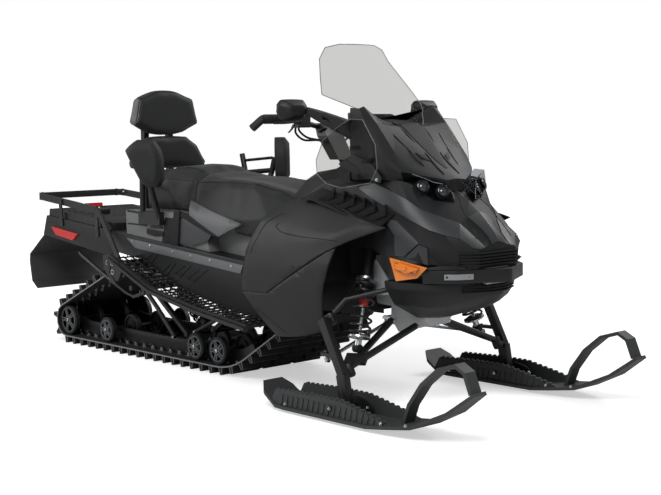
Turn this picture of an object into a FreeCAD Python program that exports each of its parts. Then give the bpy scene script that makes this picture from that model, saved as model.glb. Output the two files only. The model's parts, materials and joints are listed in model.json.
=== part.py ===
# Two-seat utility snowmobile, built as separate pieces in one frame.
# Millimetres. X forward, Y to the machine's left, Z up. The floor is Z = 0 and the
# machine's centre plane is Y = 0. X = 0 is the middle of the overall length.
import FreeCAD, Part
import math
import os
import Sketcher
from FreeCAD import Placement, Rotation, Vector

doc = FreeCAD.newDocument("snowmobile")
sheet = doc.addObject("Spreadsheet::Sheet", "Sizes")
size_names = []
nodes = []


def wording(value):
    return value.text if isinstance(value, Size) else "(%r)" % float(value)


class Size(float):
    """A number that remembers the sheet expression it was worked out from."""

    def __new__(cls, value, text):
        number = super().__new__(cls, value)
        number.text = text
        return number

    def __add__(self, other):
        return Size(float(self) + float(other), "(%s + %s)" % (self.text, wording(other)))

    def __radd__(self, other):
        return Size(float(other) + float(self), "(%s + %s)" % (wording(other), self.text))

    def __sub__(self, other):
        return Size(float(self) - float(other), "(%s - %s)" % (self.text, wording(other)))

    def __rsub__(self, other):
        return Size(float(other) - float(self), "(%s - %s)" % (wording(other), self.text))

    def __mul__(self, other):
        return Size(float(self) * float(other), "(%s * %s)" % (self.text, wording(other)))

    def __rmul__(self, other):
        return Size(float(other) * float(self), "(%s * %s)" % (wording(other), self.text))

    def __truediv__(self, other):
        return Size(float(self) / float(other), "(%s / %s)" % (self.text, wording(other)))

    def __neg__(self):
        return Size(-float(self), "(-%s)" % self.text)


def size(alias, value):
    """Write one driving size into the sheet."""
    size_names.append(alias)
    row = len(size_names)
    sheet.set("A%d" % row, alias)
    sheet.set("B%d" % row, str(value))
    sheet.setAlias("B%d" % row, alias)
    return Size(value, "Sizes." + alias)


# Overall and front end
overall_half = size("overall_half", 1655)
ski_stance = size("ski_stance", 900)
ski_width = size("ski_width", 180)
spindle_x = size("spindle_x", 1010)
ski_bolt_z = size("ski_bolt_z", 55)
king_y = size("king_y", 410)
king_lean = size("king_lean", 28)
post_lean = size("post_lean", 35.6)
fit_gap = size("fit_gap", 0.3)
running_gap = size("running_gap", 0.05)

# Track and what it runs on
track_width = size("track_width", 500)
belt_thick = size("belt_thick", 6)
lug_height = size("lug_height", 32)
lug_spacing = size("lug_spacing", 72.6)
lug_base = size("lug_base", 24)
lug_tip = size("lug_tip", 11)
lug_band = size("lug_band", 148)
lug_band_gap = size("lug_band_gap", 28)
idler_radius = size("idler_radius", 62)
rear_idler_radius = size("rear_idler_radius", 77)
sprocket_radius = size("sprocket_radius", 86)
sprocket_width = size("sprocket_width", 60)
carrier_radius = size("carrier_radius", 55)
front_curve_radius = size("front_curve_radius", 400)
rear_axle_x = size("rear_axle_x", -1328)
mid_axle_x = size("mid_axle_x", -967)
third_axle_x = size("third_axle_x", -229)
fourth_axle_x = size("fourth_axle_x", -60)
front_curve_x = size("front_curve_x", -50)
drive_axle_x = size("drive_axle_x", 330)
drive_axle_z = size("drive_axle_z", 300)
carrier_x = size("carrier_x", -800)
carrier_z = size("carrier_z", 362)
wheel_width = size("wheel_width", 26)
wheel_track = size("wheel_track", 436)
inner_wheel_track = size("inner_wheel_track", 150)
rail_spacing = size("rail_spacing", 330)
rail_thick = size("rail_thick", 14)
rail_height = size("rail_height", 62)
axle_radius = size("axle_radius", 11)
arm_thick = size("arm_thick", 22)

# Tunnel, deck, boards and rack
tunnel_width = size("tunnel_width", 530)
tunnel_wall = size("tunnel_wall", 4)
tunnel_front_x = size("tunnel_front_x", 480)
tunnel_rear_x = size("tunnel_rear_x", -830)
tunnel_mid_z = size("tunnel_mid_z", 528)
tunnel_slope = size("tunnel_slope", 0.0834)
board_width = size("board_width", 165)
board_thick = size("board_thick", 6)
board_rail = size("board_rail", 28)
deck_rear_x = size("deck_rear_x", -1490)
deck_half = size("deck_half", 250)
flap_half = size("flap_half", 262)
flap_thick = size("flap_thick", 6)
rack_rear_x = size("rack_rear_x", -1557)
rack_half = tunnel_width / 2 - 15
rack_band = size("rack_band", 34)
rack_thick = size("rack_thick", 10)
seat_box_front_x = size("seat_box_front_x", -292)
seat_box_rear_x = size("seat_box_rear_x", -705)
seat_box_top = size("seat_box_top", 700)
panel_wall = size("panel_wall", 5)

belt_inner_z = lug_height + belt_thick
idler_z = belt_inner_z + idler_radius
rear_idler_z = belt_inner_z + rear_idler_radius
half_track = track_width / 2
tunnel_half = tunnel_width / 2
half_stance = ski_stance / 2


def v(x, y, z):
    return Vector(float(x), float(y), float(z))


def drive(item, name, value):
    """Set one property, and bind it where its number comes from the sheet."""
    if isinstance(value, Size):
        item.setExpression(name, value.text)
    else:
        setattr(item, name, value)


def put(item, point, turn=Rotation()):
    """Place a piece, with the coordinates that come from the sheet bound to it."""
    item.Placement = Placement(v(*point), turn)
    for letter, value in zip("xyz", point):
        if isinstance(value, Size):
            item.setExpression("Placement.Base." + letter, value.text)


def keep(item, label):
    """Name a finished sub-part and list it for writing."""
    item.Label = label
    nodes.append(item)
    return item


def shaped(label, shape):
    """A sub-part whose form is worked out here from the sheet's sizes."""
    item = doc.addObject("Part::Feature", label)
    item.Shape = shape
    item.Placement = Placement()
    return item


def across(label, x, z, half_length, radius):
    """A round bar from side to side through the centre plane."""
    item = doc.addObject("Part::Cylinder", label)
    drive(item, "Radius", radius)
    drive(item, "Height", half_length * 2)
    put(item, (x, -half_length, z), Rotation(Vector(1, 0, 0), -90))
    return item


def bar(label, start, end, radius):
    """A round bar between two points."""
    item = doc.addObject("Part::Cylinder", label)
    axis = v(*end) - v(*start)
    drive(item, "Radius", radius)
    item.Height = axis.Length
    put(item, start, Rotation(Vector(0, 0, 1), axis))
    return item


def block(label, low, high):
    """A box between its lowest and highest corners."""
    item = doc.addObject("Part::Box", label)
    for name, near, far in zip(("Length", "Width", "Height"), low, high):
        drive(item, name, far - near)
    put(item, low)
    return item


def plank(label, start, end, width, height, up=Vector(0, 0, 1)):
    """A rectangular bar between two points: width across, height along the up side."""
    along = v(*end) - v(*start)
    run = along.Length
    along.normalize()
    side = up.cross(along)
    side.normalize()
    top = along.cross(side)
    turn = Rotation(along, side, top, "XYZ")
    item = doc.addObject("Part::Box", label)
    item.Length = run
    drive(item, "Width", width)
    drive(item, "Height", height)
    shift = turn.multVec(Vector(0, -float(width) / 2, -float(height) / 2))
    item.Placement = Placement(v(*start) + shift, turn)
    return item


def fused(label, items):
    joined = doc.addObject("Part::MultiFuse", label)
    joined.Shapes = items
    joined.Refine = False
    return joined


def without(label, base, tools):
    """A base piece less one or more tool pieces."""
    cut = doc.addObject("Part::Cut", label)
    cut.Base = base
    cut.Tool = tools[0] if len(tools) == 1 else fused(label + "_tools", tools)
    cut.Refine = False
    return cut


def other_side(item):
    """The same piece mirrored to the machine's other side."""
    copy = doc.addObject("Part::Mirroring", item.Name + "_mirrored")
    copy.Source = item
    copy.Normal = Vector(0, 1, 0)
    return copy


def together(label, items):
    """Like pieces that don't touch, in one sub-part."""
    group = doc.addObject("Part::Compound", label)
    group.Links = items
    return group


def both_sides(label, item):
    return together(label, [item, other_side(item)])


def sketch_on(body, role, corners, name):
    """A closed outline on one of the body's own planes, each corner held by two dimensions."""
    sketch = body.newObject("Sketcher::SketchObject", name)
    plane = [item for item in body.Origin.OriginFeatures if item.Role == role][0]
    sketch.AttachmentSupport = [(plane, "")]
    sketch.MapMode = "FlatFace"
    count = len(corners)
    for index, (across_value, up_value) in enumerate(corners):
        after = corners[(index + 1) % count]
        start = Vector(float(across_value), float(up_value), 0)
        end = Vector(float(after[0]), float(after[1]), 0)
        sketch.addGeometry(Part.LineSegment(start, end), False)
    for index in range(count):
        sketch.addConstraint(Sketcher.Constraint("Coincident", index, 2, (index + 1) % count, 1))
    for index, corner in enumerate(corners):
        for kind, value in zip(("DistanceX", "DistanceY"), corner):
            number = sketch.addConstraint(Sketcher.Constraint(kind, -1, 1, index, 1, float(value)))
            if isinstance(value, Size):
                sketch.setExpression("Constraints[%d]" % number, value.text)
    return sketch


def shift_sketch(sketch, distance):
    sketch.AttachmentOffset = Placement(Vector(0, 0, float(distance)), Rotation())
    if isinstance(distance, Size):
        sketch.setExpression("AttachmentOffset.Base.z", distance.text)


def side_pad(label, corners, low, high):
    """A side-view outline of (x, z) corners, padded between two Y planes."""
    body = doc.addObject("PartDesign::Body", label)
    sketch = sketch_on(body, "XZ_Plane", corners, label + "_outline")
    shift_sketch(sketch, -high)
    pad = body.newObject("PartDesign::Pad", label + "_pad")
    pad.Profile = sketch
    drive(pad, "Length", high - low)
    return body


def plan_pad(label, corners, low, high):
    """A top-view outline of (x, y) corners, padded between two heights."""
    body = doc.addObject("PartDesign::Body", label)
    sketch = sketch_on(body, "XY_Plane", corners, label + "_outline")
    shift_sketch(sketch, low)
    pad = body.newObject("PartDesign::Pad", label + "_pad")
    pad.Profile = sketch
    drive(pad, "Length", high - low)
    return body


def bent_strip(points, thick):
    """The closed outline of a bent plate whose upper face follows the points."""
    lower = []
    for index, (x, z) in enumerate(points):
        before = points[max(index - 1, 0)]
        after = points[min(index + 1, len(points) - 1)]
        run = math.hypot(after[0] - before[0], after[1] - before[1])
        rise = float(after[1] - before[1]) / run
        level = float(after[0] - before[0]) / run
        lower.append((x + thick * rise, z - thick * level))
    return list(points) + lower[::-1]


def closed_solid(rings):
    """A solid from its faces, each a ring of points; a ring that isn't flat is fanned."""
    faces = []
    for ring in rings:
        for second in range(1, len(ring) - 1):
            trio = [ring[0], ring[second], ring[second + 1]]
            if (trio[1] - trio[0]).cross(trio[2] - trio[0]).Length > 1e-6:
                faces.append(Part.Face(Part.makePolygon(trio + [trio[0]])))
    shell = Part.Shell(faces)
    solid = Part.Solid(shell)
    if solid.Volume < 0:
        solid.reverse()
    return solid


def skin(corners, faces, shift):
    """A thin closed panel: its outer faces, and the same faces moved by the shift."""
    inner = [corner + shift for corner in corners]
    edges = {}
    for face in faces:
        for first, second in zip(face, face[1:] + face[:1]):
            edges[(first, second)] = True
    rings = [[corners[index] for index in face] for face in faces]
    rings += [[inner[index] for index in face[:1] + face[:0:-1]] for face in faces]
    for first, second in edges:
        if (second, first) not in edges:
            rings.append([corners[second], corners[first], inner[first], inner[second]])
    return closed_solid(rings)


def plate(points, shift):
    """A flat or slightly bent plate from the ring of its outer face."""
    return skin(points, [list(range(len(points)))], shift)


def mirrored_points(points):
    return [v(point.x, -point.y, point.z) for point in points]


def section(x, half):
    """A full section at one X from its half outline of (y, z) points."""
    points = [v(x, y, z) for y, z in half]
    points += [v(x, -y, z) for y, z in reversed(half) if y > 0.001]
    return points


def hull(stations):
    """A closed solid through symmetric sections, each a pair of X and its half outline."""
    rings = [section(x, half) for x, half in stations]
    count = len(rings[0])
    left_count = len(stations[0][1]) - 1
    faces = [rings[0][::-1], rings[-1]]
    for near, far in zip(rings, rings[1:]):
        for index in range(count):
            after = (index + 1) % count
            if index < left_count:
                faces.append([near[index], near[after], far[after], far[index]])
            else:
                faces.append([near[after], far[after], far[index], near[index]])
    return closed_solid(faces)


# Track: one closed belt round the idlers, the front curve, the sprocket and the carrier.
belt_rounds = [
    (float(rear_axle_x), float(rear_idler_z), float(rear_idler_radius)),
    (float(front_curve_x), float(belt_inner_z + front_curve_radius), float(front_curve_radius)),
    (float(drive_axle_x), float(drive_axle_z), float(sprocket_radius)),
    (float(carrier_x), float(carrier_z), float(carrier_radius)),
]


def belt_normals():
    """The outward direction of each straight run, as an angle."""
    angles = []
    for index, (x1, z1, r1) in enumerate(belt_rounds):
        x2, z2, r2 = belt_rounds[(index + 1) % len(belt_rounds)]
        reach = math.hypot(x2 - x1, z2 - z1)
        heading = math.atan2(z2 - z1, x2 - x1)
        angles.append(heading - math.acos((r1 - r2) / reach))
    return angles


def belt_pieces():
    """Straights and arcs of the belt's inner line, in order, with their lengths."""
    angles = belt_normals()
    pieces = []
    for index, (x, z, r) in enumerate(belt_rounds):
        arrive = angles[index - 1]
        leave = angles[index]
        while leave < arrive:
            leave += 2 * math.pi
        pieces.append(("arc", (x, z, r), arrive, leave - arrive, r * (leave - arrive)))
        x2, z2, r2 = belt_rounds[(index + 1) % len(belt_rounds)]
        start = (x + r * math.cos(leave), z + r * math.sin(leave))
        end = (x2 + r2 * math.cos(leave), z2 + r2 * math.sin(leave))
        run = math.hypot(end[0] - start[0], end[1] - start[1])
        pieces.append(("line", (start, end), leave, 0, run))
    return pieces


belt_runs = belt_pieces()
belt_length = sum(run[4] for run in belt_runs)
lug_count = int(round(belt_length / lug_spacing))
print("belt length", round(belt_length, 1), "lugs", lug_count)


def belt_point(along, out):
    """A point on the belt at a distance along it, moved outwards."""
    along = along % belt_length
    for kind, data, angle, sweep, length in belt_runs:
        if along <= length:
            break
        along -= length
    if kind == "arc":
        turn = angle + sweep * along / length
        x = data[0] + (data[2] + out) * math.cos(turn)
        z = data[1] + (data[2] + out) * math.sin(turn)
        return (x, z)
    share = along / length
    x = data[0][0] + (data[1][0] - data[0][0]) * share + out * math.cos(angle)
    z = data[0][1] + (data[1][1] - data[0][1]) * share + out * math.sin(angle)
    return (x, z)


def lugged_outline(with_lugs):
    """The belt's outer line, with or without a lug at each pitch."""
    base = float(lug_base) / 2
    tip = float(lug_tip) / 2
    skin_out = float(belt_thick)
    lug_out = float(belt_thick + lug_height)
    step = belt_length / lug_count
    points = []
    for index in range(lug_count):
        centre = index * step
        points.append(belt_point(centre - base, skin_out))
        if with_lugs:
            points.append(belt_point(centre - tip, lug_out))
            points.append(belt_point(centre + tip, lug_out))
        points.append(belt_point(centre + base, skin_out))
        points.append(belt_point(centre + step / 2, skin_out))
    return points


def belt_inner_wire(y):
    """The belt's inner line as true arcs and straights."""
    edges = []
    for kind, data, angle, sweep, length in belt_runs:
        if kind == "arc":
            spots = []
            for share in (0, 0.5, 1):
                turn = angle + sweep * share
                spots.append(v(data[0] + data[2] * math.cos(turn), y, data[1] + data[2] * math.sin(turn)))
            edges.append(Part.Arc(*spots).toShape())
        else:
            start, end = data
            edges.append(Part.LineSegment(v(start[0], y, start[1]), v(end[0], y, end[1])).toShape())
    return Part.Wire(edges)


def belt_band(low, high, with_lugs):
    corners = [v(x, low, z) for x, z in lugged_outline(with_lugs)]
    corners.append(corners[0])
    outer = Part.Face(Part.makePolygon(corners)).extrude(v(0, high - low, 0))
    inner = Part.Face(belt_inner_wire(low)).extrude(v(0, high - low, 0))
    return outer.cut(inner)


outer_edge = float(half_track)
band_edge = outer_edge - lug_band
centre_edge = band_edge - lug_band_gap
belt_shape = belt_band(-outer_edge, -band_edge, True)
for low, high, with_lugs in (
    (-band_edge, -centre_edge, False),
    (-centre_edge, centre_edge, True),
    (centre_edge, band_edge, False),
    (band_edge, outer_edge, True),
):
    belt_shape = belt_shape.fuse(belt_band(low, high, with_lugs))
keep(shaped("track", belt_shape), "track")

# Slide rails: two long runners with curved noses, on their cross shafts
rail_bottom = belt_inner_z + 1
rail_top = rail_bottom + rail_height
rail_end_x = rear_axle_x - 20
rail_outline = [(rail_end_x, rear_idler_z - 22), (rear_axle_x + 60, rail_bottom), (front_curve_x, rail_bottom)]
curve_top_z = belt_inner_z + front_curve_radius
nose_turns = [math.radians(turn) for turn in (6, 12, 18, 24, 30)]
for turn in nose_turns:
    reach = front_curve_radius - 1
    rail_outline.append((front_curve_x + reach * math.sin(turn), curve_top_z - reach * math.cos(turn)))
for turn in reversed(nose_turns):
    reach = front_curve_radius - rail_height
    rail_outline.append((front_curve_x + reach * math.sin(turn), curve_top_z - reach * math.cos(turn)))
rail_outline += [(front_curve_x, rail_top), (rear_axle_x + 120, rail_top + 12), (rail_end_x, rear_idler_z + 22)]
rail_inside = rail_spacing / 2 - rail_thick / 2
rail_outside = rail_spacing / 2 + rail_thick / 2
left_rail = side_pad("left_rail", rail_outline, rail_inside, rail_outside)
rail_pieces = [left_rail, other_side(left_rail)]
axles = [
    (rear_axle_x, rear_idler_z, rear_idler_radius),
    (mid_axle_x, idler_z, idler_radius),
    (third_axle_x, idler_z, idler_radius),
    (fourth_axle_x, idler_z, idler_radius),
]
axle_half = wheel_track / 2 + wheel_width / 2 + 4
for number, (x, z, radius) in enumerate(axles):
    rail_pieces.append(across("idler_axle_%d" % number, x, z, axle_half, axle_radius))
rail_pieces.append(across("rail_brace", -330, rail_bottom + 45, rail_spacing / 2, 14))
keep(fused("slide_rails", rail_pieces), "slide_rails")


def wheel(label, x, y, z, radius, spoked):
    """A rubber-tyred wheel with a dished web, and five windows in the web where it shows."""
    half = wheel_width / 2
    hub = 30
    rim = radius - 12
    bore = axle_radius + fit_gap
    profile = [
        (bore, -half), (hub, -half), (hub, 7 - half), (rim, 7 - half), (rim, -half), (radius - 3, -half),
        (radius, 3 - half), (radius, half - 3), (radius - 3, half), (rim, half), (rim, half - 7),
        (hub, half - 7), (hub, half), (bore, half),
    ]
    body = doc.addObject("PartDesign::Body", label)
    sketch = sketch_on(body, "XY_Plane", profile, label + "_profile")
    turned = body.newObject("PartDesign::Revolution", label + "_turned")
    turned.Profile = sketch
    turned.ReferenceAxis = (sketch, ["V_Axis"])
    turned.Angle = 360
    if spoked:
        near = hub + 5
        far = rim - 4
        window = []
        for reach, spread in ((near, 14), (far, 26), (far, -26), (near, -14)):
            turn = math.radians(spread)
            window.append((reach * math.cos(turn), reach * math.sin(turn)))
        opening = sketch_on(body, "XZ_Plane", window, label + "_window")
        pocket = body.newObject("PartDesign::Pocket", label + "_pocket")
        pocket.Profile = opening
        pocket.Midplane = True
        drive(pocket, "Length", wheel_width + 4)
        ring = body.newObject("PartDesign::PolarPattern", label + "_windows")
        ring.Originals = [pocket]
        ring.Axis = (opening, ["N_Axis"])
        ring.Angle = 360
        ring.Occurrences = 5
        body.Tip = ring
    put(body, (x, y, z))
    return body


wheels = []
for number, (x, z, radius) in enumerate(axles):
    for side, name in ((1, "left"), (-1, "right")):
        label = "wheel_%d_%s" % (number, name)
        wheels.append(wheel(label, x, wheel_track / 2 * side, z, radius - fit_gap, True))
        wheels.append(wheel(label + "_inner", x, inner_wheel_track / 2 * side, z, radius - fit_gap, False))
for side, name in ((1, "left"), (-1, "right")):
    wheels.append(wheel("carrier_" + name, carrier_x, 110 * side, carrier_z, carrier_radius - fit_gap, False))
keep(together("idler_wheels", wheels), "idler_wheels")

# Drive axle with two toothed drums
inside_tunnel = tunnel_half - tunnel_wall - fit_gap
axle_pieces = [across("drive_shaft", drive_axle_x, drive_axle_z, inside_tunnel, 16)]
for side, name in ((1, "left"), (-1, "right")):
    drum = doc.addObject("Part::Cylinder", "drum_" + name)
    drive(drum, "Radius", sprocket_radius - fit_gap)
    drive(drum, "Height", sprocket_width)
    put(drum, (drive_axle_x, 110 * side - sprocket_width / 2, drive_axle_z), Rotation(Vector(1, 0, 0), -90))
    axle_pieces.append(drum)
keep(fused("drive_axle", axle_pieces), "drive_axle")

# Rear suspension: two arms, their cross shafts and two shocks
rear_shaft = (-690, 330)
front_shaft = (60, 330)
arm_half = rail_inside - 14
suspension = []
for side, name in ((1, "left"), (-1, "right")):
    y = arm_half * side
    suspension.append(plank("rear_arm_" + name, (rear_shaft[0], y, rear_shaft[1]), (-400, y, 130), arm_thick, 20))
    suspension.append(plank("front_arm_" + name, (front_shaft[0], y, front_shaft[1]), (-190, y, 170), arm_thick, 20))
for number, (x, z) in enumerate((rear_shaft, front_shaft)):
    suspension.append(across("tunnel_shaft_%d" % number, x, z, inside_tunnel, 13))
for number, (x, z) in enumerate(((-400, 130), (-190, 170))):
    suspension.append(across("rail_shaft_%d" % number, x, z, arm_half + 13, 14))
suspension.append(across("carrier_shaft", carrier_x, carrier_z, 130, axle_radius))
carrier_link = ((carrier_x, 0, carrier_z), (rear_shaft[0], 0, rear_shaft[1]))
suspension.append(plank("carrier_link", carrier_link[0], carrier_link[1], 30, 20))
suspension.append(bar("rear_damper_rod", (-694, 0, 337), (-400, 0, 124), 10))
suspension.append(bar("rear_damper", (-650, 0, 305), (-440, 0, 153), 30))
suspension.append(bar("front_damper_rod", (64, 40, 336), (-194, 40, 165), 10))
suspension.append(bar("front_damper", (20, 40, 307), (-150, 40, 194), 28))
keep(fused("rear_suspension", suspension), "rear_suspension")


def tunnel_z(x):
    """Height of the tunnel's top face: it falls towards the front."""
    return tunnel_mid_z - tunnel_slope * x


# Running boards: a bent board, its outer rail, and the bracket that ends it at the back
board_line = [(-592, 492), (-271, 368), (60, 312), (400, 270)]
inner_board = tunnel_half + fit_gap
outer_board = inner_board + board_width
board = side_pad("board", bent_strip(board_line, board_thick), inner_board, outer_board)
rail_line = [(x, z + board_rail / 2) for x, z in board_line]
board_edge = side_pad("board_edge", bent_strip(rail_line, board_rail), outer_board - 14, outer_board + 12)
bracket_line = [(-645, 500), (-592, 512), (-520, 480), (-490, 440), (-520, 395), (-570, 385), (-640, 440)]
bracket = side_pad("board_bracket", bracket_line, outer_board - 14, outer_board + 4)
bracket_holes = []
for number, (x, z) in enumerate(((-605, 470), (-565, 470), (-565, 430))):
    hole = doc.addObject("Part::Cylinder", "bracket_hole_%d" % number)
    hole.Radius = 9
    hole.Height = 60
    put(hole, (x, outer_board - 30, z), Rotation(Vector(1, 0, 0), -90))
    bracket_holes.append(hole)
board_fused = fused("board_with_edge", [board, board_edge, bracket])
keep(both_sides("running_boards", without("board_pierced", board_fused, bracket_holes)), "running_boards")

# Tunnel: a folded sheet, open below
tunnel_side = [
    (tunnel_rear_x, tunnel_z(tunnel_rear_x)), (tunnel_front_x, tunnel_z(tunnel_front_x)), (tunnel_front_x, 262),
    (400, 262), (60, 304), (-271, 360), (-560, 470), (tunnel_rear_x, 500),
]
inner_top_rear = tunnel_z(tunnel_rear_x - 10) - tunnel_wall
inner_top_front = tunnel_z(tunnel_front_x + 10) - tunnel_wall
tunnel_inside = [
    (tunnel_rear_x - 10, inner_top_rear), (tunnel_front_x + 10, inner_top_front),
    (tunnel_front_x + 10, 100), (tunnel_rear_x - 10, 100),
]
tunnel_outer = side_pad("tunnel_outer", tunnel_side, -tunnel_half, tunnel_half)
tunnel_inner = side_pad("tunnel_inner", tunnel_inside, tunnel_wall - tunnel_half, tunnel_half - tunnel_wall)
trim_line = [(-699, 569), (188, 495), (168, 458), (-625, 524)]
trim = side_pad("tunnel_trim", trim_line, tunnel_half - 1, tunnel_half + 5)
hollow_tunnel = without("tunnel_sheet", tunnel_outer, [tunnel_inner])
keep(fused("tunnel", [hollow_tunnel, trim, other_side(trim)]), "tunnel")

# Rear deck: side plates carried on behind the tunnel, and the luggage top
deck_front_x = tunnel_rear_x - fit_gap
deck_top_rear = deck_rear_x + 40
deck_side = [
    (deck_rear_x, 548), (deck_top_rear, tunnel_z(deck_top_rear)), (deck_front_x, tunnel_z(deck_front_x)), (deck_front_x, 470),
]
deck_inside = [
    (deck_rear_x - 10, 400), (deck_rear_x + 44, tunnel_z(deck_rear_x + 44) - tunnel_wall),
    (deck_front_x + 10, tunnel_z(deck_front_x + 10) - tunnel_wall), (deck_front_x + 10, 400),
]
deck_outer = side_pad("deck_outer", deck_side, -tunnel_half, tunnel_half)
deck_inner = side_pad("deck_inner", deck_inside, tunnel_wall - tunnel_half, tunnel_half - tunnel_wall)
deck_rise = 34
deck_lid = [
    (deck_top_rear, tunnel_z(deck_top_rear) - 1), (deck_top_rear + 5, tunnel_z(deck_top_rear + 5) + deck_rise),
    (deck_front_x, tunnel_z(deck_front_x) + deck_rise), (deck_front_x, tunnel_z(deck_front_x) - 1),
]
lid = side_pad("deck_lid", deck_lid, -deck_half, deck_half)
latch_low = tunnel_z(-1180) + deck_rise - 2
latch = block("deck_latch", (-1200, -150, latch_low), (-1150, -70, latch_low + 22))
keep(fused("rear_deck", [without("deck_sheet", deck_outer, [deck_inner]), lid, latch]), "rear_deck")

# Tail lamps: one wedge on each side plate and a small one on the deck's rear edge
lamp_outline = [(-1391, 594), (-1139, 566), (-1186, 532), (-1351, 554)]
side_lamp = side_pad("side_lamp", lamp_outline, tunnel_half + running_gap, tunnel_half + 9)
top_lamp_low = tunnel_z(-1440) + deck_rise + fit_gap
top_lamp = block("top_lamp", (-1440, -45, top_lamp_low), (-1408, 45, top_lamp_low + 18))
keep(together("tail_lamps", [side_lamp, other_side(side_lamp), top_lamp]), "tail_lamps")

# Snow flap
flap_line = [(deck_rear_x - fit_gap, 548), (6 - overall_half, 440), (-overall_half, 400), (18 - overall_half, 296), (-1582, 259)]
keep(side_pad("snow_flap", bent_strip(flap_line, -flap_thick), -flap_half, flap_half), "snow_flap")

# Cargo rack: a flat band round the deck, its legs down to the boards, and two uprights
rack_path = [
    (rack_rear_x, 0, 745), (rack_rear_x, rack_half - 25, 745), (rack_rear_x + 25, rack_half, 744),
    (-960, rack_half + 18, 690), (-915, rack_half + 22, 666), (-774, rack_half + 50, 545),
    (-640, rack_half + 80, 424), (-602, rack_half + 146, 424), (-602, float(outer_board) - 14.3, 424),
]
rack_pieces = []
for number, (start, end) in enumerate(zip(rack_path, rack_path[1:])):
    rack_pieces.append(plank("rack_band_%d" % number, start, end, rack_thick, rack_band))
for number, (x, y, z) in enumerate(rack_path[1:-1]):
    corner = doc.addObject("Part::Cylinder", "rack_corner_%d" % number)
    drive(corner, "Radius", rack_thick / 2 + 1)
    drive(corner, "Height", rack_band + 4)
    put(corner, (x, y, z - rack_band / 2 - 2))
    rack_pieces.append(corner)
upright_y = tunnel_half + fit_gap
rack_pieces.append(plank("rack_upright", (-1300, upright_y + 3, 728), (-1292, upright_y + 3, 600), 6, 26, Vector(1, 0, 0)))
rack_pieces.append(plank("rack_upright_front", (-960, upright_y + 3, 690), (-956, upright_y + 3, 562), 6, 26, Vector(1, 0, 0)))
rack_pieces.append(block("rack_boss", (-1313, rack_half + 4, 712), (-1285, upright_y + 5, 734)))
rack_side = fused("rack_side", rack_pieces)
keep(fused("cargo_rack", [rack_side, other_side(rack_side)]), "cargo_rack")

# Seat base: the box behind, the wedge before it, and the support under the rider's seat
side_clear = tunnel_half - 2
seat_floor = [(x, tunnel_z(x) + fit_gap) for x in (seat_box_rear_x, seat_box_front_x)]
box_line = [seat_floor[0], (seat_box_rear_x, seat_box_top), (seat_box_front_x, seat_box_top), seat_floor[1]]
seat_box = side_pad("seat_box", box_line, -side_clear, side_clear)
wedge_line = [(-293, tunnel_z(-293) + fit_gap), (-293, 668), (-255, 668), (-90, 606), (-70, tunnel_z(-70) + fit_gap)]
seat_wedge = side_pad("seat_wedge", wedge_line, -250, 250)
seat_under = [(-250, 680), (-120, 640), (60, 615), (250, 600), (420, 600)]
support_line = [(-250, tunnel_z(-250) + fit_gap)] + [(x, z - fit_gap) for x, z in seat_under]
support_line += [(420, tunnel_z(420) + fit_gap)]
seat_support = side_pad("seat_support", support_line, -190, 190)
keep(fused("seat_base", [seat_box, seat_wedge, seat_support]), "seat_base")

# Rider's seat: narrow nose, crowned middle, raised tail under the passenger's knees
seat_rear_x = -250
rider_stations = [
    (seat_rear_x, [(0, 884), (118, 876), (186, 838), (212, 712), (196, 684), (0, 684)]),
    (-200, [(0, 872), (120, 866), (190, 843), (226, 700), (208, 670), (0, 670)]),
    (-120, [(0, 848), (124, 850), (190, 846), (238, 690), (218, 645), (0, 645)]),
    (4, [(0, 832), (118, 842), (182, 848), (246, 670), (236, 624), (0, 624)]),
    (60, [(0, 826), (112, 838), (172, 846), (246, 660), (238, 616), (0, 616)]),
    (150, [(0, 814), (102, 828), (158, 840), (243, 665), (232, 609), (0, 609)]),
    (303, [(0, 782), (88, 798), (136, 808), (228, 690), (215, 601), (0, 601)]),
    (400, [(0, 750), (80, 762), (124, 770), (205, 680), (200, 601), (0, 601)]),
]
keep(shaped("rider_seat", hull(rider_stations)), "rider_seat")

# Passenger's seat on the box, with its raised front roll
passenger_floor = seat_box_top + fit_gap
pf = float(passenger_floor)
passenger_stations = [
    (-712, [(0, 872), (148, 868), (186, 852), (190, 838), (140, 815), (140, pf), (0, pf)]),
    (-640, [(0, 884), (158, 880), (200, 856), (203, 836), (148, 810), (148, pf), (0, pf)]),
    (-520, [(0, 887), (158, 884), (205, 854), (208, 828), (152, 800), (152, pf), (0, pf)]),
    (-440, [(0, 902), (150, 894), (204, 850), (212, 800), (165, 772), (158, pf), (0, pf)]),
    (-370, [(0, 908), (135, 899), (200, 846), (218, 735), (190, 716), (172, pf), (0, pf)]),
    (-300, [(0, 902), (124, 892), (194, 842), (216, 716), (196, 706), (182, pf), (0, pf)]),
    (-250.3, [(0, 886), (118, 878), (188, 840), (212, 714), (192, 705), (184, pf), (0, pf)]),
]
keep(shaped("passenger_seat", hull(passenger_stations)), "passenger_seat")

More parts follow.
